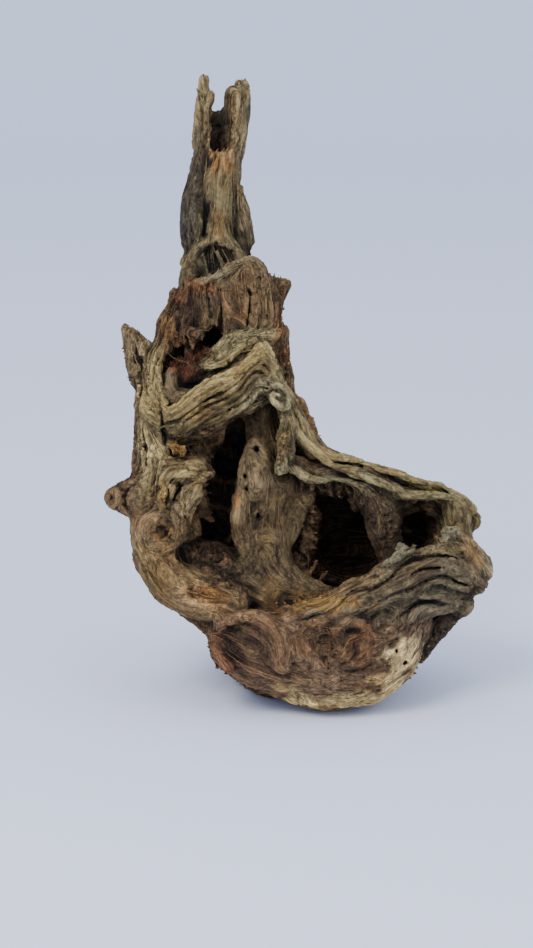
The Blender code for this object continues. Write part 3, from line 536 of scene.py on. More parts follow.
grow([(-27, -12, 202, 9), (-27, -18, 186, 9), (-25, -22, 170, 10), (-29, -25, 158, 11), (-34, -28, 147, 11),
      (-37, -30, 136, 9.5), (-36, -32, 124, 10), (-31, -36, 110, 11), (-27, -39, 96, 12), (-22, -43, 82, 13)],
     [(-14, -20, 152, 11), (-18, -26, 138, 13), (-19, -29, 126, 13), (-19, -34, 112, 13), (-16, -38, 96, 13),
      (-12, -42, 82, 11)],
     [(-2, -20, 142, 9), (-6, -25, 130, 10), (-10, -30, 118, 9)],
     [(-40, -38, 86, 9), (-28, -41, 92, 12), (-14, -43, 88, 13), (2, -45, 80, 11), (14, -47, 74, 9)],
     soft=6, tint=SEPTUM_BROWN, furrow=0.2)
grow([(-31, -31, 172, 7), (-32, -33, 162, 9), (-30, -34, 150, 10)], [(-40, -36, 140, 4), (-41, -37, 130, 4.5)],
     soft=7, tint=srgb(132, 116, 90), furrow=0.2)
grow([(-8, -34, 192, 4.5), (-11, -38, 178, 5.5), (-13, -40, 164, 5)], soft=2, tint=srgb(108, 98, 76), furrow=0.8)
grow([(-14, -32, 166, 5), (-4, -31, 165, 5), (8, -30, 160, 5), (24, -29, 158, 5), (44, -28, 152, 6)],
     soft=2, tint=srgb(84, 68, 50))
grow([(-15, -40, 160, 3), (-10, -39, 163, 3), (-5, -38, 161, 2.8), (2, -37, 156, 2.8), (8, -36, 154, 2.6),
      (18, -35, 155, 2.6), (28, -34, 155, 2.6), (38, -33, 151, 2.6), (47, -31, 147, 2.6)],
     soft=1.5, tint=srgb(136, 128, 100), furrow=0.3)
grow([(46, -22, 150, 13), (54, -24, 137, 14), (57, -27, 122, 11), (60, -31, 108, 8), (62, -36, 95, 7)],
     [(40, -20, 146, 9), (36, -16, 138, 6)],
     [(70, -18, 140, 7), (60, -22, 134, 9)], [(40, -26, 148, 6), (42, -28, 140, 4)],
     [(66, -30, 96, 6), (60, -32, 104, 7)],
     soft=3, tint=srgb(88, 74, 57), furrow=1.0)
grow([(-2, -36, 76, 1.6), (5, -30, 88, 2.2), (13, -24, 99, 1.3)],
     [(8, -34, 74, 1.4), (13, -27, 84, 1.8), (20, -22, 92, 1.1)],
     soft=1.5, tint=srgb(98, 72, 50), furrow=0.5)
torn([(-2, -26, 156), (10, -22, 152), (22, -22, 150), (36, -24, 148)], 26, 9, 2.2, 101,
     (0.1, -0.1, -1), srgb(80, 64, 48))
torn([(2, -20, 140), (6, -18, 122), (4, -22, 104)], 22, 7, 2.0, 102, (1, -0.3, -0.2), srgb(86, 68, 50))
torn([(-66, -22, 176), (-68, -24, 150), (-66, -24, 124)], 18, 8, 2.0, 103, (1, 0, -0.3), srgb(70, 56, 43))
BORER = 2.1                  # a wood-borer's hole, in millimetres
for across, height in ((-31, 173), (-37, 156), (-36, 148), (-28, 129)):
    carve([(across, -52, height, BORER), (across + 2, -20, height, BORER)], soft=0.8, tint=srgb(40, 32, 26))

# The level cut that the root stands on takes off everything below it.
up = (axes[2][None, None, :] * math.cos(LEAN) - axes[1][None, :, None] * math.sin(LEAN) - FOOT_CUT)
body = np.maximum(body, -up.astype(np.float32))

# 10. The skin: the body is drawn as a mesh and furrowed along its grain.
# Grain follows each limb and swirls round the knots. Ridges, cracks and fine fibre all run along it.


def lattice_noise(place, seed, channels=1):
    """Smooth random values, one swell to each unit of place."""
    size = 32
    table = np.random.default_rng(seed).uniform(-1, 1, (size, size, size, channels)).astype(np.float32)
    cell = np.floor(place).astype(int)
    t = (place - cell).astype(np.float32)
    t = t * t * (3 - 2 * t)
    cell %= size
    following = (cell + 1) % size
    total = 0
    for corner in range(8):
        pick = [(corner >> i) & 1 for i in range(3)]
        weight = np.prod([t[:, i] if pick[i] else 1 - t[:, i] for i in range(3)], axis=0)
        index = [following[:, i] if pick[i] else cell[:, i] for i in range(3)]
        total = total + weight[:, None] * table[tuple(index)]
    return total


shell = openvdb.FloatGrid(3 * PITCH)
shell.copyFromArray(np.clip(body, -3 * PITCH, 3 * PITCH))
points, quads = shell.convertToQuads(0.0)
points = LOW + points * PITCH


def largest_piece(points, quads):
    """Only the biggest connected shell: crumbs that float inside the hollows are dropped."""
    label = np.arange(len(points))
    edges = np.vstack([quads[:, [0, 1]], quads[:, [1, 2]], quads[:, [2, 3]]])
    while True:
        least = np.minimum(label[edges[:, 0]], label[edges[:, 1]])
        new = label.copy()
        np.minimum.at(new, edges[:, 0], least)
        np.minimum.at(new, edges[:, 1], least)
        new = new[new]
        if (new == label).all():
            break
        label = new
    kept = label == np.bincount(label).argmax()
    number = np.cumsum(kept) - 1
    return points[kept], number[quads[kept[quads[:, 0]]]]


points, quads = largest_piece(points, quads)

GRAIN_PITCH = 6.0
grain_cells = np.ceil((HIGH - LOW) / GRAIN_PITCH).astype(int) + 1
grain_places = np.stack(np.meshgrid(
    *[LOW[i] + GRAIN_PITCH * np.arange(grain_cells[i]) for i in range(3)], indexing="ij"), -1).reshape(-1, 3)
drawn_places = bent_place(grain_places)
tensor = np.zeros((len(grain_places), 3, 3))
for chain, _, _ in limbs:
    box = ((drawn_places > chain[:, :3].min(0) - 40) & (drawn_places < chain[:, :3].max(0) + 40)).all(1)
    where = np.nonzero(box)[0]
    place = drawn_places[where].T
    for a, b in zip(chain, chain[1:]):
        run = b[:3] - a[:3]
        if run @ run < 1e-6:
            continue
        run = run / np.linalg.norm(run)
        weight = np.exp(-np.maximum(to_segment(place, a, b), -6) / 3.5)
        tensor[where] += weight[:, None, None] * np.outer(run, run)

KNOTS = (  # centre, axis and reach of each knot that the grain swirls round
    ((-91, -44, 118), (0, -1, 0.1), 17),
    ((-122, -20, 143), (-0.8, -0.6, 0), 13),
    ((-14, -34, 206), (0.1, -1, 0), 9),
    ((52, -52, 62), (0.2, -1, -0.3), 15),
    ((16, -72, 44), (0, -1, 0), 13),
)
for centre, axis, reach in KNOTS:
    off = drawn_places - np.array(centre)
    around = np.cross(np.array(axis) / np.linalg.norm(axis), off)
    around /= np.linalg.norm(around, axis=1)[:, None] + 1e-6
    scale = np.trace(tensor, axis1=1, axis2=2) * 6 * np.exp(-((off**2).sum(1) / reach**2) ** 2)
    tensor += scale[:, None, None] * around[:, :, None] * around[:, None, :]

grain = np.tile([0.1, 0.05, 1.0], (len(grain_places), 1))
tensor += 1e-12
for _ in range(16):
    grain = np.einsum("nij,nj->ni", tensor, grain)
    grain /= np.linalg.norm(grain, axis=1)[:, None] + 1e-30
grain = grain.reshape(*grain_cells, 3).astype(np.float32)


def grain_at(place, before):
    """The direction of the grain, turned to run on from the direction before."""
    cell = (place - LOW) / GRAIN_PITCH
    cell = np.clip(cell, 0, grain_cells - 1.001)
    base = np.floor(cell).astype(int)
    t = (cell - base).astype(np.float32)
    total = 0
    for corner in range(8):
        pick = [(corner >> i) & 1 for i in range(3)]
        weight = np.prod([t[:, i] if pick[i] else 1 - t[:, i] for i in range(3)], axis=0)
        arrow = grain[base[:, 0] + pick[0], base[:, 1] + pick[1], base[:, 2] + pick[2]]
        facing = np.where((arrow * before).sum(1) < 0, -weight, weight)
        total = total + facing[:, None] * arrow
    return total / (np.linalg.norm(total, axis=1)[:, None] + 1e-6)


def fibre_at(place):
    """Three values that hardly change along the grain and change quickly across it."""
    step, strides = 3.0, 14
    swell = 15.0
    total = lattice_noise(place / swell, 5, 3)
    start = grain_at(place, np.tile(np.float32([0.1, 0.05, 1]), (len(place), 1)))
    for sign in (1, -1):
        here, way = place.copy(), sign * start
        for _ in range(strides):
            here = here + step * way
            way = grain_at(here, way)
            total = total + lattice_noise(here / swell, 5, 3)
    total /= total.std(0)
    return total


def normals_of(points, quads):
    """The outward direction at each point."""
    cross = np.cross(points[quads[:, 2]] - points[quads[:, 0]], points[quads[:, 3]] - points[quads[:, 1]])
    out = np.zeros_like(points)
    for k in range(4):
        for i in range(3):
            out[:, i] += np.bincount(quads[:, k], cross[:, i], len(points))
    return out / (np.linalg.norm(out, axis=1)[:, None] + 1e-9)


def limb_mix(place, sharp):
    """Each place's colour and furrow depth, from the limbs nearest to it."""
    total, colour, furrow = np.full(len(place), 1e-9), np.zeros((len(place), 3)), np.zeros(len(place))
    for chain, tint, depth in limbs:
        where = np.nonzero(((place > (chain[:, :3] - chain[:, 3:]).min(0) - 20)
                            & (place < (chain[:, :3] + chain[:, 3:]).max(0) + 20)).all(1))[0]
        if not len(where):
            continue
        distance = np.full(len(where), FAR)
        for a, b in zip(chain, chain[1:]):
            distance = np.minimum(distance, to_segment(place[where].T, a, b))
        weight = np.exp(-np.abs(distance) / sharp)
        total[where] += weight
        colour[where] += weight[:, None] * tint
        furrow[where] += weight * depth
    return colour / total[:, None], furrow / total


def smooth_step(low, high, value):
    """0 up to low, 1 past high, and a smooth rise between them."""
    t = np.clip((value - low) / (high - low), 0, 1)
    return t * t * (3 - 2 * t)


STAINS_AND_HIGHLIGHT = (  # where each patch of colour lies, how far it spreads each way, its colour and strength
    ((-52, 5, 365), (9, 10, 4.5), (130, 98, 58), 0.8),    # rust under the broken pipe and down the stalk
    ((-54, 0, 322), (5, 9, 10), (121, 91, 55), 0.6),
    ((-64, -14, 281), (11, 12, 6), (123, 76, 45), 0.7),   # rust on the crown's top, sides and horn
    ((-74, -10, 271), (9, 14, 9), (115, 72, 44), 0.6),
    ((-88, -16, 252), (6, 12, 10), (115, 89, 55), 0.6),
    ((-18, -8, 256), (7, 14, 15), (118, 79, 47), 0.7),
    ((-12, -4, 234), (5, 10, 9), (121, 79, 45), 0.7),
    ((-11, -4, 278), (5, 8, 8), (105, 86, 61), 0.7),
    ((-40, -24, 262), (7, 12, 9), (92, 69, 42), 0.6),
    ((-74, -22, 227), (13, 8, 4), (100, 62, 39), 0.8),    # the cave's torn floor
    ((-25, -34, 222), (5, 8, 6), (123, 83, 48), 0.6),     # the fold's fresh tears
    ((-66, -50, 196), (12, 8, 5), (97, 74, 45), 0.5),
    ((-80, -46, 176), (7, 9, 5), (134, 104, 62), 0.7),
    ((-90, -40, 145), (6, 10, 10), (126, 100, 55), 0.6),  # the column, the burl's eye and the belly
    ((-91, -50, 118), (7, 8, 6), (115, 86, 51), 0.6),
    ((-97, -36, 90), (13, 22, 17), (120, 100, 62), 0.6),
    ((-41, -36, 138), (3, 9, 5), (123, 86, 52), 0.7),
    ((-60, -57, 80), (12, 9, 5), (134, 98, 53), 0.8),
    ((6, -62, 72), (30, 14, 6), (125, 96, 55), 0.8),      # painted highlight along the lip's edge, and the foot's red wood
    ((8, -72, 52), (15, 14, 13), (100, 72, 48), 0.6),
    ((-53, -54, 46), (6, 14, 14), (112, 80, 60), 0.5),
    ((40, -66, 46), (10, 12, 10), (102, 74, 50), 0.6),
    ((68, -48, 38), (15, 26, 12), (230, 208, 158), 0.95),  # fresh pale wood along the trimmed underside
    ((58, -54, 22), (12, 24, 9), (212, 186, 136), 0.9),
    ((42, -60, 10), (20, 22, 7), (212, 186, 136), 0.9),
    ((0, -62, 6), (32, 20, 6.5), (208, 180, 130), 0.9),
    ((-16, -66, 14), (10, 12, 5), (180, 153, 108), 0.8),
    ((-68, -16, 262), (13, 14, 18), (58, 47, 38), 0.8),   # broad tones of the crown, the fold and the septum
    ((-25, -12, 262), (9, 12, 22), (134, 116, 92), 0.5),
    ((-20, -38, 206), (20, 20, 13), (150, 142, 114), 0.45),
    ((-27, -20, 190), (8, 14, 9), (60, 52, 42), 0.7),
    ((-20, -32, 130), (15, 14, 30), (94, 80, 58), 0.45),
    ((-56, -10, 268), (18, 14, 14), (80, 64, 48), 0.5),
    ((101, -26, 124), (11, 14, 12), (110, 101, 70), 0.6),
    ((-12, -42, 178), (4, 7, 5), (130, 105, 70), 0.7),
)


def stained_and_highlit(colour, place):
    """The colours with the stains, and one patch of painted highlight, laid over them, each with a ragged edge."""
    rag = lattice_noise(place / 6, 61)[:, 0] + 0.6 * lattice_noise(place / 2.5, 62)[:, 0]
    for centre, spread, patch_colour, strength in STAINS_AND_HIGHLIGHT:
        away = np.sqrt((((place - np.array(centre)) / np.array(spread)) ** 2).sum(1))
        share = strength * smooth_step(1.2, 0.75, away + 0.6 * rag)
        colour = colour + share[:, None] * (np.array(srgb(*patch_colour)) - colour)
    return colour


def box_blur(field, cells_wide):
    """The mean of the field over a cube of this many cells each way."""
    for axis in range(3):
        total = np.cumsum(np.pad(field, [(cells_wide + 1, cells_wide) if a == axis else (0, 0) for a in range(3)],
                                 mode="edge"), axis=axis, dtype=np.float64)
        n = field.shape[axis]
        ahead = np.take(total, np.arange(2 * cells_wide + 1, n + 2 * cells_wide + 1), axis)
        behind = np.take(total, np.arange(0, n), axis)
        field = ((ahead - behind) / (2 * cells_wide + 1)).astype(np.float32)
    return field


normals = normals_of(points, quads)
facing = np.sign((normals * (points - points.mean(0))).sum())
if facing < 0:
    quads, normals = quads[:, ::-1], -normals
fibre = fibre_at(points)
tint, furrow = limb_mix(bent_place(points), 2.0)
tint = stained_and_highlit(tint, bent_place(points))


def furrows(scale, seed, width):
    """Sharp grooves that run with the grain: 1 in the bottom of a groove, and 0 between them."""
    value = lattice_noise(fibre * scale + seed, seed)[:, 0]
    return np.clip(1 - np.abs(value) / width, 0, 1) ** 1.3


# edge: how much the skin bulges out or sinks in over a few millimetres. The groove value below turns it into painted
# highlight on bulging edges and painted shade in sunken creases.
edge = sample(box_blur(body, round(3.3 / PITCH)) - body, points)
roll = lattice_noise(fibre * 1.0, 21)[:, 0]
rill = lattice_noise(fibre * 4.5 + 3, 23)[:, 0]
patch = lattice_noise(points / 22, 25)[:, 0]
lumps = lattice_noise(points / 4.5, 26)[:, 0]
deep = furrows(1.2, 31, 0.2) * smooth_step(-0.5, 0.2, patch)
middling = furrows(2.4, 32, 0.26)
shallow = furrows(5.0, 33, 0.35)
height = furrow * (1.2 * roll + 0.5 * rill - 2.6 * deep - 1.4 * middling - 0.7 * shallow + 0.7) + 0.12 * lumps
above = (points @ np.array([0, -math.sin(LEAN), math.cos(LEAN)])) - FOOT_CUT
height *= smooth_step(0.2, 6, above)
points = points + normals * height[:, None]
# Painted light and shade: groove is lightest on ridges and bulging edges, as painted highlight, and darkest in the
# bottoms of furrows and in creases, as painted shade, with some random tone over it.
groove = np.clip(0.62 + 0.16 * roll + 0.14 * rill + np.clip(0.65 * edge, -0.5, 0.45)
                 - (0.6 * deep + 0.4 * middling + 0.25 * shallow) * (0.4 + 0.6 * furrow), 0, 1)

# Painted shade: where the skin is closed in by wood, with little open space in front of it, its colour is darkened,
# down to nearly black in the deepest hollows.
solid = (body < 0).astype(np.float32)
close = sample(box_blur(solid, int(6 / PITCH)), points + 3.0 * normals)
wide = sample(box_blur(solid, int(18 / PITCH)), points + 9.0 * normals)
hollow_shade = np.clip(0.35 * smooth_step(0.42, 0.8, close) + smooth_step(0.46, 0.84, wide), 0, 1)
hollow_shade *= 1 - 0.5 * smooth_step(340, 365, points[:, 2])     # less painted shade in the broken pipe, where light reaches in

turn = np.array(Matrix.Rotation(-LEAN, 3, "X"))


def in_row(place):
    """Places in the drawing, turned into the row's frame in metres."""
    return (place @ turn.T - [*CENTRE, FOOT_CUT]) * 0.001


drawn, normals = points, normals_of(points, quads)
points = in_row(drawn)
points[:, 2] = np.maximum(points[:, 2], 0)

mesh = bpy.data.meshes.new("root_skin")
mesh.vertices.add(len(points))
mesh.vertices.foreach_set("co", points.astype(np.float32).ravel())
mesh.loops.add(4 * len(quads))
mesh.loops.foreach_set("vertex_index", quads.astype(np.int32).ravel())
mesh.polygons.add(len(quads))
mesh.polygons.foreach_set("loop_start", np.arange(0, 4 * len(quads), 4, dtype=np.int32))
mesh.update(calc_edges=True)
mesh.validate()
for name, values in (("tint", np.hstack([tint, np.ones((len(tint), 1))])), ("fibre", fibre)):
    kind = "FLOAT_COLOR" if name == "tint" else "FLOAT_VECTOR"
    layer = mesh.attributes.new(name, kind, "POINT")
    layer.data.foreach_set("color" if name == "tint" else "vector", values.astype(np.float32).ravel())
coarse = np.clip(furrow, 0, 1.2) / 1.2
for name, values in (("groove", groove), ("hollow_shade", hollow_shade), ("coarse", coarse)):
    mesh.attributes.new(name, "FLOAT", "POINT").data.foreach_set("value", values.astype(np.float32))
root = bpy.data.objects.new("root_skin", mesh)
bpy.context.scene.collection.objects.link(root)

FACES = 196000               # a piece stays under 200,000 triangles
if 2 * len(quads) > FACES:
    thin_out = root.modifiers.new("thin_out", "DECIMATE")
    thin_out.ratio = FACES / (2 * len(quads))
    mesh = bpy.data.meshes.new_from_object(root.evaluated_get(bpy.context.evaluated_depsgraph_get()))
    root.modifiers.clear()
    root.data = mesh
mesh.shade_smooth()

# 11. The finish, dry weathered wood, with painted highlight on its ridges, painted shade in its grooves, and painted
#     shade, nearly black, in its hollows.
# Noise drawn on the fibre's own coordinates runs with the grain, as lines, seams and threads.
# Clouds and specks of dirt lie over it, whatever the grain does.

wood = bpy.data.materials.new("dry_wood")
wood.use_nodes = True
nodes, links = wood.node_tree.nodes, wood.node_tree.links
shader = nodes["Principled BSDF"]
shader.inputs["Specular IOR Level"].default_value = 0.25


def node(kind, **settings):
    """A node of the wood's material, with its sockets or its settings set by name."""
    made = nodes.new(kind)
    for name, value in settings.items():
        if name in made.inputs:
            made.inputs[name].default_value = value
        else:
            setattr(made, name, value)
    return made


def stored(name):
    """A value that the mesh carries at each of its points."""
    return node("ShaderNodeAttribute", attribute_name=name)


def noise(source, scale, detail, roughness):
    """Noise on these coordinates."""
    made = node("ShaderNodeTexNoise", Scale=scale, Detail=detail, Roughness=roughness)
    links.new(source, made.inputs["Vector"])
    return made.outputs["Fac"]


def ramp(source, *stops):
    """The source's value turned into a colour or a grey, by stops of place and value."""
    made = node("ShaderNodeValToRGB")
    links.new(source, made.inputs["Fac"])
    elements = made.color_ramp.elements
    while len(elements) < len(stops):
        elements.new(0.5)
    for element, (place, value) in zip(elements, stops):
        element.position = place
        element.color = (*value, 1) if isinstance(value, tuple) else (value, value, value, 1)
    return made.outputs["Color"]


def mixed(kind, factor, a, b):
    """Two colours mixed by the factor. Each may be a colour or another node's output."""
    made = node("ShaderNodeMix", data_type="RGBA", blend_type=kind)
    for socket, value in ((made.inputs[0], factor), (made.inputs[6], a), (made.inputs[7], b)):
        if isinstance(value, bpy.types.NodeSocket):
            links.new(value, socket)
        elif isinstance(value, tuple):
            socket.default_value = (*value, 1)
        else:
            socket.default_value = value
    return made.outputs[2]


def sum_node(kind, source, *constant):
    """The source's value after one step of arithmetic."""
    made = node("ShaderNodeMath", operation=kind)
    links.new(source, made.inputs[0])
    for value in constant:
        made.inputs[1].default_value = value
    return made.outputs[0]


object_place = node("ShaderNodeTexCoord").outputs["Object"]
fibre_lines = noise(stored("fibre").outputs["Vector"], 5.0, 5.0, 0.7)
broad_lines = noise(stored("fibre").outputs["Vector"], 1.8, 3.0, 0.6)
cracks = sum_node("ABSOLUTE", sum_node("SUBTRACT", noise(stored("fibre").outputs["Vector"], 2.6, 2.0, 0.5), 0.5))
seams = ramp(cracks, (0.0, 0.0), (0.012, 0.35), (0.05, 1.0))
threads = noise(stored("fibre").outputs["Vector"], 13.0, 2.0, 0.6)
specks = noise(object_place, 420.0, 4.0, 0.7)
clouds = noise(object_place, 38.0, 4.0, 0.6)
coarseness = stored("coarse").outputs["Fac"]

WHITE = (1.0, 1.0, 1.0)
DRIED = (0.99, 0.945, 0.76)              # the yellow that dry wood takes on all over
DEEP_SHADE = (0.02, 0.02, 0.021)         # painted shade in the deepest hollows
colour = stored("tint").outputs["Color"]
for strength, layer in (
        (1.0, ramp(fibre_lines, (0.3, 0.55), (0.5, 1.0), (0.72, 1.5))),
        (0.8, ramp(broad_lines, (0.32, (0.5, 0.46, 0.44)), (0.5, WHITE), (0.7, (1.45, 1.4, 1.2)))),
        (0.7, ramp(clouds, (0.35, (0.75, 0.62, 0.5)), (0.55, WHITE), (0.7, (1.15, 1.2, 1.2)))),
        (0.6, ramp(specks, (0.35, 0.5), (0.5, 1.0), (0.7, 1.3))),
        # Painted highlight and shade: the groove value lightens ridges and edges and darkens furrows and creases.
        (1.0, ramp(stored("groove").outputs["Fac"], (0.05, 0.1), (0.4, 0.62), (0.65, 1.08), (0.95, 1.9))),
        (ramp(coarseness, (0.2, 0.1), (0.8, 0.6)), seams),
        (ramp(coarseness, (0.2, 0.2), (0.8, 0.6)), ramp(threads, (0.36, 0.5), (0.5, 1.0), (0.62, 1.35))),
        (1.0, DRIED)):
    colour = mixed("MULTIPLY", strength, colour, layer)
# Painted shade: the colour is mixed towards near black where the skin lies closed in by wood.
colour = mixed("MIX", ramp(stored("hollow_shade").outputs["Fac"], (0.1, 0.0), (0.95, 0.9)), colour, DEEP_SHADE)
links.new(colour, shader.inputs["Base Color"])
links.new(ramp(fibre_lines, (0.3, 0.95), (0.7, 0.7)), shader.inputs["Roughness"])
relief = None
for height_from, strength, depth in ((fibre_lines, 0.9, 0.0009), (seams, 0.9, 0.0007), (specks, 0.5, 0.0004)):
    bump = node("ShaderNodeBump", Strength=strength, Distance=depth)
    links.new(height_from, bump.inputs["Height"])
    if relief:
        links.new(relief, bump.inputs["Normal"])
    relief = bump.outputs["Normal"]
links.new(relief, shader.inputs["Normal"])
mesh.materials.append(wood)
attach(root, "root")
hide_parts("dry_root")

# 12. Raised fibres: the hard late wood of each year stands out as fine threads once the soft wood has worn away.
# They are grown wood, half sunk in the skin, and follow its grain.
# Each is drawn as a line over the skin, and a node tree gives the lines their round sections.

skin = BVHTree.FromPolygons(drawn.tolist(), quads.tolist())


def over_skin(start, strides, step):
    """Lines that follow the grain over the skin from each start, with the place on the skin of each point."""
    lines, spots = [start], [np.zeros(len(start), int)]
    way = grain_at(start, np.tile(np.float32([0.1, 0.05, 1]), (len(start), 1)))
    for _ in range(strides):
        here = lines[-1] + step * way
        hits = [skin.find_nearest(Vector(p)) for p in here]
        here = np.array([hit[0] for hit in hits])
        lines.append(here)
        spots.append(np.array([hit[2] for hit in hits]))
        way = grain_at(here, way)
    spots[0] = spots[1]
    return np.stack(lines, 1), np.stack(spots, 1)


def threads_mesh(name, lines, radii, layers):
    """A mesh of bare lines that carries each point's radius and colours."""
    count, length = lines.shape[:2]
    index = np.arange(count * length).reshape(count, length)
    made = bpy.data.meshes.new(name)
    pairs = np.stack([index[:, :-1], index[:, 1:]], -1).reshape(-1, 2)
    made.from_pydata(lines.reshape(-1, 3).tolist(), pairs.tolist(), [])
    kinds = {"tint": ("FLOAT_COLOR", "color"), "fibre": ("FLOAT_VECTOR", "vector")}
    for key, values in {"radius": radii, **layers}.items():
        kind, slot = kinds.get(key, ("FLOAT", "value"))
        made.attributes.new(key, kind, "POINT").data.foreach_set(slot, values.astype(np.float32).ravel())
    thing = bpy.data.objects.new(name, made)
    bpy.context.scene.collection.objects.link(thing)
    return thing


round_out = bpy.data.node_groups.new("round_out", "GeometryNodeTree")
sockets = {name: round_out.interface.new_socket(name, in_out="INPUT", socket_type=kind).identifier
           for name, kind in (("Geometry", "NodeSocketGeometry"), ("Sides", "NodeSocketInt"),
                              ("Finish", "NodeSocketMaterial"))}
round_out.interface.new_socket("Geometry", in_out="OUTPUT", socket_type="NodeSocketGeometry")
tree = {name: round_out.nodes.new(kind) for name, kind in (
    ("in", "NodeGroupInput"), ("curve", "GeometryNodeMeshToCurve"), ("radius", "GeometryNodeInputNamedAttribute"),
    ("circle", "GeometryNodeCurvePrimitiveCircle"), ("tube", "GeometryNodeCurveToMesh"),
    ("real", "GeometryNodeRealizeInstances"), ("finish", "GeometryNodeSetMaterial"), ("out", "NodeGroupOutput"))}
tree["radius"].inputs["Name"].default_value = "radius"
tree["circle"].inputs["Radius"].default_value = 1
tree["tube"].inputs["Fill Caps"].default_value = True
for source, output, target, entry in (
        ("in", "Geometry", "curve", "Mesh"), ("curve", "Curve", "tube", "Curve"),
        ("in", "Sides", "circle", "Resolution"), ("circle", "Curve", "tube", "Profile Curve"),
        ("radius", "Attribute", "tube", "Scale"),
        ("tube", "Mesh", "real", "Geometry"), ("real", "Geometry", "finish", "Geometry"),
        ("in", "Finish", "finish", "Material"), ("finish", "Geometry", "out", "Geometry")):
    round_out.links.new(tree[source].outputs[output], tree[target].inputs[entry])


def rounded(thing, sides):
    """Gives the lines their sections and keeps the result as a plain mesh."""
    modifier = thing.modifiers.new("round_out", "NODES")
    modifier.node_group = round_out
    modifier[sockets["Sides"]] = sides
    modifier[sockets["Finish"]] = wood
    made = bpy.data.meshes.new_from_object(thing.evaluated_get(bpy.context.evaluated_depsgraph_get()))
    thing.modifiers.clear()
    thing.data = made
    made.shade_smooth()
    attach(thing, "root")
    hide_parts("dry_root")


rng = np.random.default_rng(120)
THREADS = 1500
STRIDES, STRIDE = 11, 2.4    # how many steps a fibre takes over the skin, and each step's length
SUNK = 0.2                   # how much of its radius a fibre sinks into the skin
facing_front = np.clip(0.45 - 0.55 * normals[:, 1], 0.12, 1)
chance = facing_front * (hollow_shade < 0.7) * (above > 8) * np.clip(furrow, 0.2, 1) ** 1.7
starts = rng.choice(len(drawn), THREADS, replace=False, p=chance / chance.sum())
lines, spots = over_skin(drawn[starts], STRIDES, STRIDE)
at = quads[spots][:, :, 0]
taper = np.sin(np.linspace(0.12, math.pi - 0.12, STRIDES + 1)) ** 0.6
radii = taper * rng.uniform(0.2, 0.6, (THREADS, 1)) * (0.5 + 0.5 * coarse[starts])[:, None]
lines = lines - normals[at] * SUNK * radii[:, :, None]
bright = rng.uniform(0.7, 1.3, (THREADS, 1, 1))
shades = np.concatenate([tint[at] * bright, np.ones((*at.shape, 1))], -1)
# Each fibre is lighter along its raised middle, as painted highlight, and takes the painted shade of the skin it lies
# on.
fibres = threads_mesh("raised_fibres", in_row(lines.reshape(-1, 3)).reshape(lines.shape), radii * 0.001,
                      {"tint": shades, "fibre": fibre[at] + rng.uniform(0, 9, (THREADS, 1, 3)),
                       "groove": np.tile(0.58 + 0.25 * taper, (THREADS, 1)), "hollow_shade": hollow_shade[at],
                       "coarse": coarse[at]})
rounded(fibres, 5)

# 13. Hair roots: the fine threads of root that cross the crown's cave and hang in the septum's lee.
# They are dead, dry and brown, and grow out of the wood at both ends.

HAIRS = (
    ((-82, -24, 247), (-76, -33, 249), (-66, -36, 251), (-58, -34, 253)),
    ((-64, -36, 236), (-56, -42, 237), (-50, -42, 244), (-48, -38, 248), (-52, -38, 249)),
    ((-88, -26, 238), (-80, -36, 232), (-70, -38, 226)),
    ((-2, -36, 150), (0, -42, 130), (6, -44, 100), (2, -46, 80)),
)
KNOTS_EACH = 32
loose = []
for k, hair in enumerate(HAIRS):
    curve = smooth_chain([(*p, 0) for p in hair], 16)[:, :3]
    spot = np.linspace(0, len(curve) - 1, KNOTS_EACH)
    curve = np.stack([np.interp(spot, np.arange(len(curve)), curve[:, i]) for i in range(3)], -1)
    wave = np.cumsum(np.random.default_rng(130 + k).normal(0, 0.35, curve.shape), 0)
    wave -= np.linspace(0, 1, KNOTS_EACH)[:, None] * wave[-1]
    loose.append(curve + wave)
loose = np.array(loose)
spread = np.ones(loose.shape[:2])
# The hairs get a light, even coat of painted shade.
hairs = threads_mesh("hair_roots", in_row(loose.reshape(-1, 3)).reshape(loose.shape),
                     spread * 0.001 * np.random.default_rng(140).uniform(0.14, 0.3, (len(loose), 1)),
                     {"tint": np.ones((*spread.shape, 4)) * (*srgb(104, 84, 60), 1), "fibre": loose / 6,
                      "groove": 0.7 * spread, "hollow_shade": 0.35 * spread, "coarse": spread})
rounded(hairs, 6)

# 14. Splinters: short broken points of wood that stand up along the torn edges.
# Each edge is a line of points, and a node tree stands a thin cone on every one.

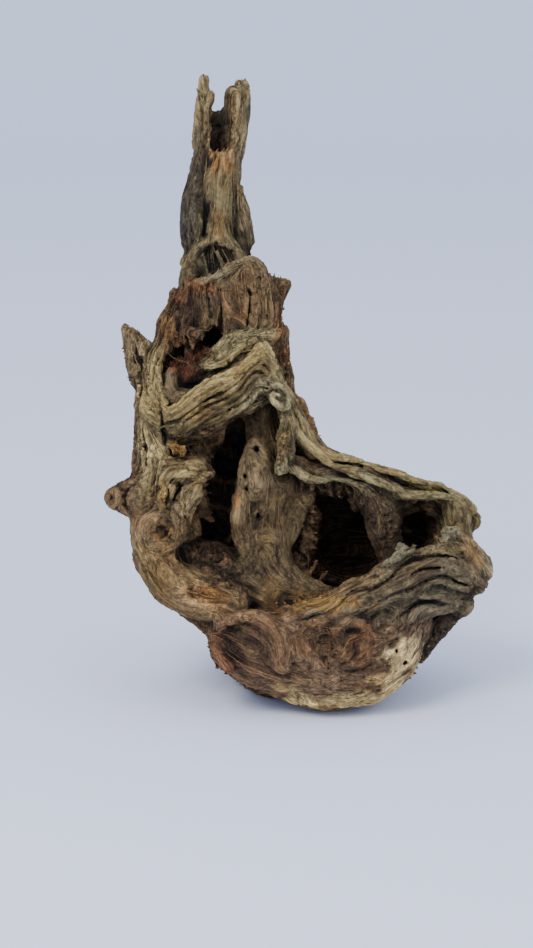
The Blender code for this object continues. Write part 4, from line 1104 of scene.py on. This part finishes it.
EDGES = (  # the edge's line, how many splinters, their length and thickness, the way they lean, and their colour
    (((-26, -10, 290), (-20, -8, 285), (-11, -4, 283)), 20, 3.1, 1.2, (0.3, -0.2, 1), (128, 104, 76)),
    (((-12, -4, 280), (-15, -6, 268), (-14, -4, 254), (-12, -2, 240), (-13, 0, 224)), 55, 2.48, 1.2, (1, -0.2, 0.5),
     (130, 98, 68)),
    (((-70, -13, 284), (-60, -19, 288), (-50, -22, 292), (-40, -20, 296), (-30, -13, 296)), 30, 1.86, 1.05,
     (0, -0.3, 1), (120, 106, 80)),
    (((-80, 0, 279), (-86, -10, 262), (-91, -14, 246)), 35, 2.48, 1.05, (-1, -0.4, 0.8), (134, 108, 74)),
    (((-84, -22, 249), (-74, -28, 246), (-62, -30, 248)), 30, 2.79, 1.05, (0, -0.5, -1), (108, 84, 60)),
    (((-86, -20, 228), (-78, -26, 232), (-68, -30, 234), (-60, -32, 236)), 240, 4, 0.55, (0, -0.8, 0.7), (96, 62, 42)),
    (((-114, -8, 246), (-108, -10, 248), (-98, -8, 241)), 30, 2.48, 1.35, (0, -0.2, 1), (112, 96, 74)),
    (((-115, -6, 244), (-113, -6, 230), (-110, -6, 214)), 25, 1.86, 1.2, (-1, -0.3, -0.2), (104, 90, 70)),
    (((-6, -20, 209), (-1, -18, 207), (3, -18, 198), (6, -20, 188), (9, -22, 180)), 45, 2.17, 1.2, (1, -0.3, 0.5),
     (132, 106, 72)),
    (((-86, -50, 176), (-80, -52, 172), (-74, -52, 174)), 20, 3.72, 1.2, (0.4, -0.5, -0.8), (150, 118, 72)),
    (((-67, 20, 409), (-63, 20, 414)), 8, 3.1, 1.05, (0, 0, 1), (122, 108, 78)),
    (((-50, 34, 405), (-45, 34, 413), (-37, 27, 420)), 20, 2.79, 1.2, (0, 0, 1), (84, 68, 50)),
    (((-60, 12, 370), (-52, 12, 371), (-45, 13, 374)), 25, 2.79, 1.2, (0, -0.4, 1), (124, 92, 62)),
    (((-62, -46, 54), (-60, -46, 42), (-52, -46, 26), (-42, -48, 16)), 18, 1.4, 1.2, (-1, -0.3, 0), (86, 66, 52)),
    (((104, -22, 60), (92, -26, 50), (84, -30, 38), (74, -32, 24)), 28, 2.0, 1.2, (0.7, -0.2, -0.6), (92, 78, 60)),
    (((60, -62, 100), (72, -60, 110), (86, -54, 120), (100, -42, 122)), 30, 1.86, 1.2, (0, -0.5, 1), (118, 108, 84)),
    (((-12, -46, 184), (-14, -48, 172), (-15, -46, 162)), 20, 2.17, 1.05, (-0.6, -0.5, -0.7), (136, 112, 78)),
    (((-20, -46, 72), (6, -58, 74), (30, -58, 84)), 30, 2.17, 1.05, (0, -0.1, 1), (128, 102, 68)),
)
rng = np.random.default_rng(150)
tips = []
for line, count, length, thickness, way, shade in EDGES:
    curve = smooth_chain([(*p, 0) for p in line], 8)[:, :3]
    spot = rng.uniform(0, len(curve) - 1, count)
    foot = np.stack([np.interp(spot, np.arange(len(curve)), curve[:, i]) for i in range(3)], -1)
    for p in foot + rng.normal(0, 1.2, foot.shape):
        found, out, _, _ = skin.find_nearest(Vector(p))
        lean = np.array(way, float) / np.linalg.norm(way) + rng.normal(0, 0.55, 3)
        tips.append((*found, *(turn @ (lean / np.linalg.norm(lean))), length * rng.uniform(0.35, 1.2),
                     thickness * rng.uniform(0.6, 1.3), *(np.array(srgb(*shade)) * rng.uniform(0.6, 1.4))))
tips = np.array(tips)
points_mesh = bpy.data.meshes.new("splinters")
points_mesh.from_pydata(in_row(tips[:, :3]).tolist(), [], [])
# The splinters get a faint, even coat of painted shade.
for key, kind, slot, values in (
        ("way", "FLOAT_VECTOR", "vector", tips[:, 3:6]),
        ("girth", "FLOAT_VECTOR", "vector", np.stack([tips[:, 7], tips[:, 7], tips[:, 6]], -1) * 0.001),
        ("tint", "FLOAT_COLOR", "color", np.hstack([tips[:, 8:11], np.ones((len(tips), 1))])),
        ("fibre", "FLOAT_VECTOR", "vector", rng.uniform(0, 30, (len(tips), 3))),
        ("groove", "FLOAT", "value", rng.uniform(0.5, 0.75, len(tips))),
        ("hollow_shade", "FLOAT", "value", 0.15 * np.ones(len(tips))),
        ("coarse", "FLOAT", "value", np.ones(len(tips)))):
    points_mesh.attributes.new(key, kind, "POINT").data.foreach_set(slot, values.astype(np.float32).ravel())
splinters = bpy.data.objects.new("splinters", points_mesh)
bpy.context.scene.collection.objects.link(splinters)

stand_up = bpy.data.node_groups.new("stand_up", "GeometryNodeTree")
up_sockets = {name: stand_up.interface.new_socket(name, in_out="INPUT", socket_type=kind).identifier
              for name, kind in (("Geometry", "NodeSocketGeometry"), ("Sides", "NodeSocketInt"),
                                 ("Finish", "NodeSocketMaterial"))}
stand_up.interface.new_socket("Geometry", in_out="OUTPUT", socket_type="NodeSocketGeometry")
tree = {name: stand_up.nodes.new(kind) for name, kind in (
    ("in", "NodeGroupInput"), ("cone", "GeometryNodeMeshCone"), ("way", "GeometryNodeInputNamedAttribute"),
    ("girth", "GeometryNodeInputNamedAttribute"), ("turned", "FunctionNodeAlignRotationToVector"),
    ("placed", "GeometryNodeInstanceOnPoints"), ("real", "GeometryNodeRealizeInstances"),
    ("finish", "GeometryNodeSetMaterial"), ("out", "NodeGroupOutput"))}
for name in ("way", "girth"):
    tree[name].data_type = "FLOAT_VECTOR"
    tree[name].inputs["Name"].default_value = name
tree["cone"].inputs["Radius Top"].default_value = 0.15
tree["cone"].inputs["Radius Bottom"].default_value = 1.0
tree["cone"].inputs["Depth"].default_value = 1.3
for source, output, target, entry in (
        ("in", "Geometry", "placed", "Points"), ("in", "Sides", "cone", "Vertices"),
        ("cone", "Mesh", "placed", "Instance"), ("way", "Attribute", "turned", "Vector"),
        ("turned", "Rotation", "placed", "Rotation"), ("girth", "Attribute", "placed", "Scale"),
        ("placed", "Instances", "real", "Geometry"), ("real", "Geometry", "finish", "Geometry"),
        ("in", "Finish", "finish", "Material"), ("finish", "Geometry", "out", "Geometry")):
    stand_up.links.new(tree[source].outputs[output], tree[target].inputs[entry])
modifier = splinters.modifiers.new("stand_up", "NODES")
modifier.node_group = stand_up
modifier[up_sockets["Sides"]] = 5
modifier[up_sockets["Finish"]] = wood
made = bpy.data.meshes.new_from_object(splinters.evaluated_get(bpy.context.evaluated_depsgraph_get()))
splinters.modifiers.clear()
splinters.data = made
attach(splinters, "root")
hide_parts("dry_root")

# 15. The stage: a wide sheet of pale paper that curves up all round, soft light and the camera.
# The paper lies flat under the root, and a large lamp stands in front on the left, like a window.

PAPER = srgb(241, 246, 255)
FLAT, CURVE, RIM_HEIGHT, ROUND = 3.4, 0.7, 2.5, 72   # in metres, and the number of steps round
GAP = 0.0004                 # the paper lies this far below the foot
profile = [(0.4, 0.0), (FLAT, 0.0)]
profile += [(FLAT + CURVE * math.sin(a), CURVE - CURVE * math.cos(a)) for a in np.linspace(0, math.pi / 2, 12)[1:]]
profile += [(FLAT + CURVE, RIM_HEIGHT)]
paper = bpy.data.meshes.new("paper")
corners = [(r * math.cos(a), r * math.sin(a), z - GAP)
           for r, z in profile for a in np.linspace(0, 2 * math.pi, ROUND, endpoint=False)]
sides = [(ROUND * i + k, ROUND * i + (k + 1) % ROUND, ROUND * (i + 1) + (k + 1) % ROUND, ROUND * (i + 1) + k)
         for i in range(len(profile) - 1) for k in range(ROUND)]
paper.from_pydata(corners, [], [tuple(range(ROUND))] + [side[::-1] for side in sides])
paper.shade_smooth()
sheet = bpy.data.objects.new("paper", paper)
bpy.context.scene.collection.objects.link(sheet)
finish = bpy.data.materials.new("paper")
finish.use_nodes = True
finish.node_tree.nodes["Principled BSDF"].inputs["Base Color"].default_value = (*PAPER, 1)
finish.node_tree.nodes["Principled BSDF"].inputs["Roughness"].default_value = 0.9
paper.materials.append(finish)


def soft_light(name, place, aim, size, power, colour=(1, 1, 1)):
    """A square lamp that shines from one point towards another."""
    lamp = bpy.data.lights.new(name, "AREA")
    lamp.size, lamp.energy, lamp.color = size, power, colour
    holder = bpy.data.objects.new(name, lamp)
    holder.location = place
    holder.rotation_euler = (Vector(aim) - Vector(place)).to_track_quat("-Z", "Y").to_euler()
    bpy.context.scene.collection.objects.link(holder)


soft_light("window", (-0.9, -1.3, 1.7), (0, 0, 0.15), 0.9, 27, (1.0, 0.98, 1.03))
soft_light("fill", (1.2, -1.4, 0.9), (0, 0, 0.15), 1.2, 6, (0.9, 0.95, 1.0))
world = bpy.data.worlds.new("room")
world.use_nodes = True
world.node_tree.nodes["Background"].inputs["Color"].default_value = (0.83, 0.89, 1.13, 1)
world.node_tree.nodes["Background"].inputs["Strength"].default_value = 1.14
bpy.context.scene.world = world

DISTANCE, VIEW_WIDTH = 2.0, 0.632            # how far away the camera stands, and how wide it sees there
SENSOR = 36
aim = Matrix.Rotation(-LEAN, 3, "X") @ Vector((-22.3, 0, 156.7))
aim = (aim - Vector((*CENTRE, FOOT_CUT))) * 0.001
camera = bpy.data.cameras.new("camera")
camera.sensor_width = SENSOR
camera.lens = SENSOR * DISTANCE / VIEW_WIDTH
eye = bpy.data.objects.new("camera", camera)
eye.location = aim + Vector((0, -math.cos(LEAN), math.sin(LEAN))) * DISTANCE
eye.rotation_euler = (aim - eye.location).to_track_quat("-Z", "Y").to_euler()
bpy.context.scene.collection.objects.link(eye)
bpy.context.scene.camera = eye
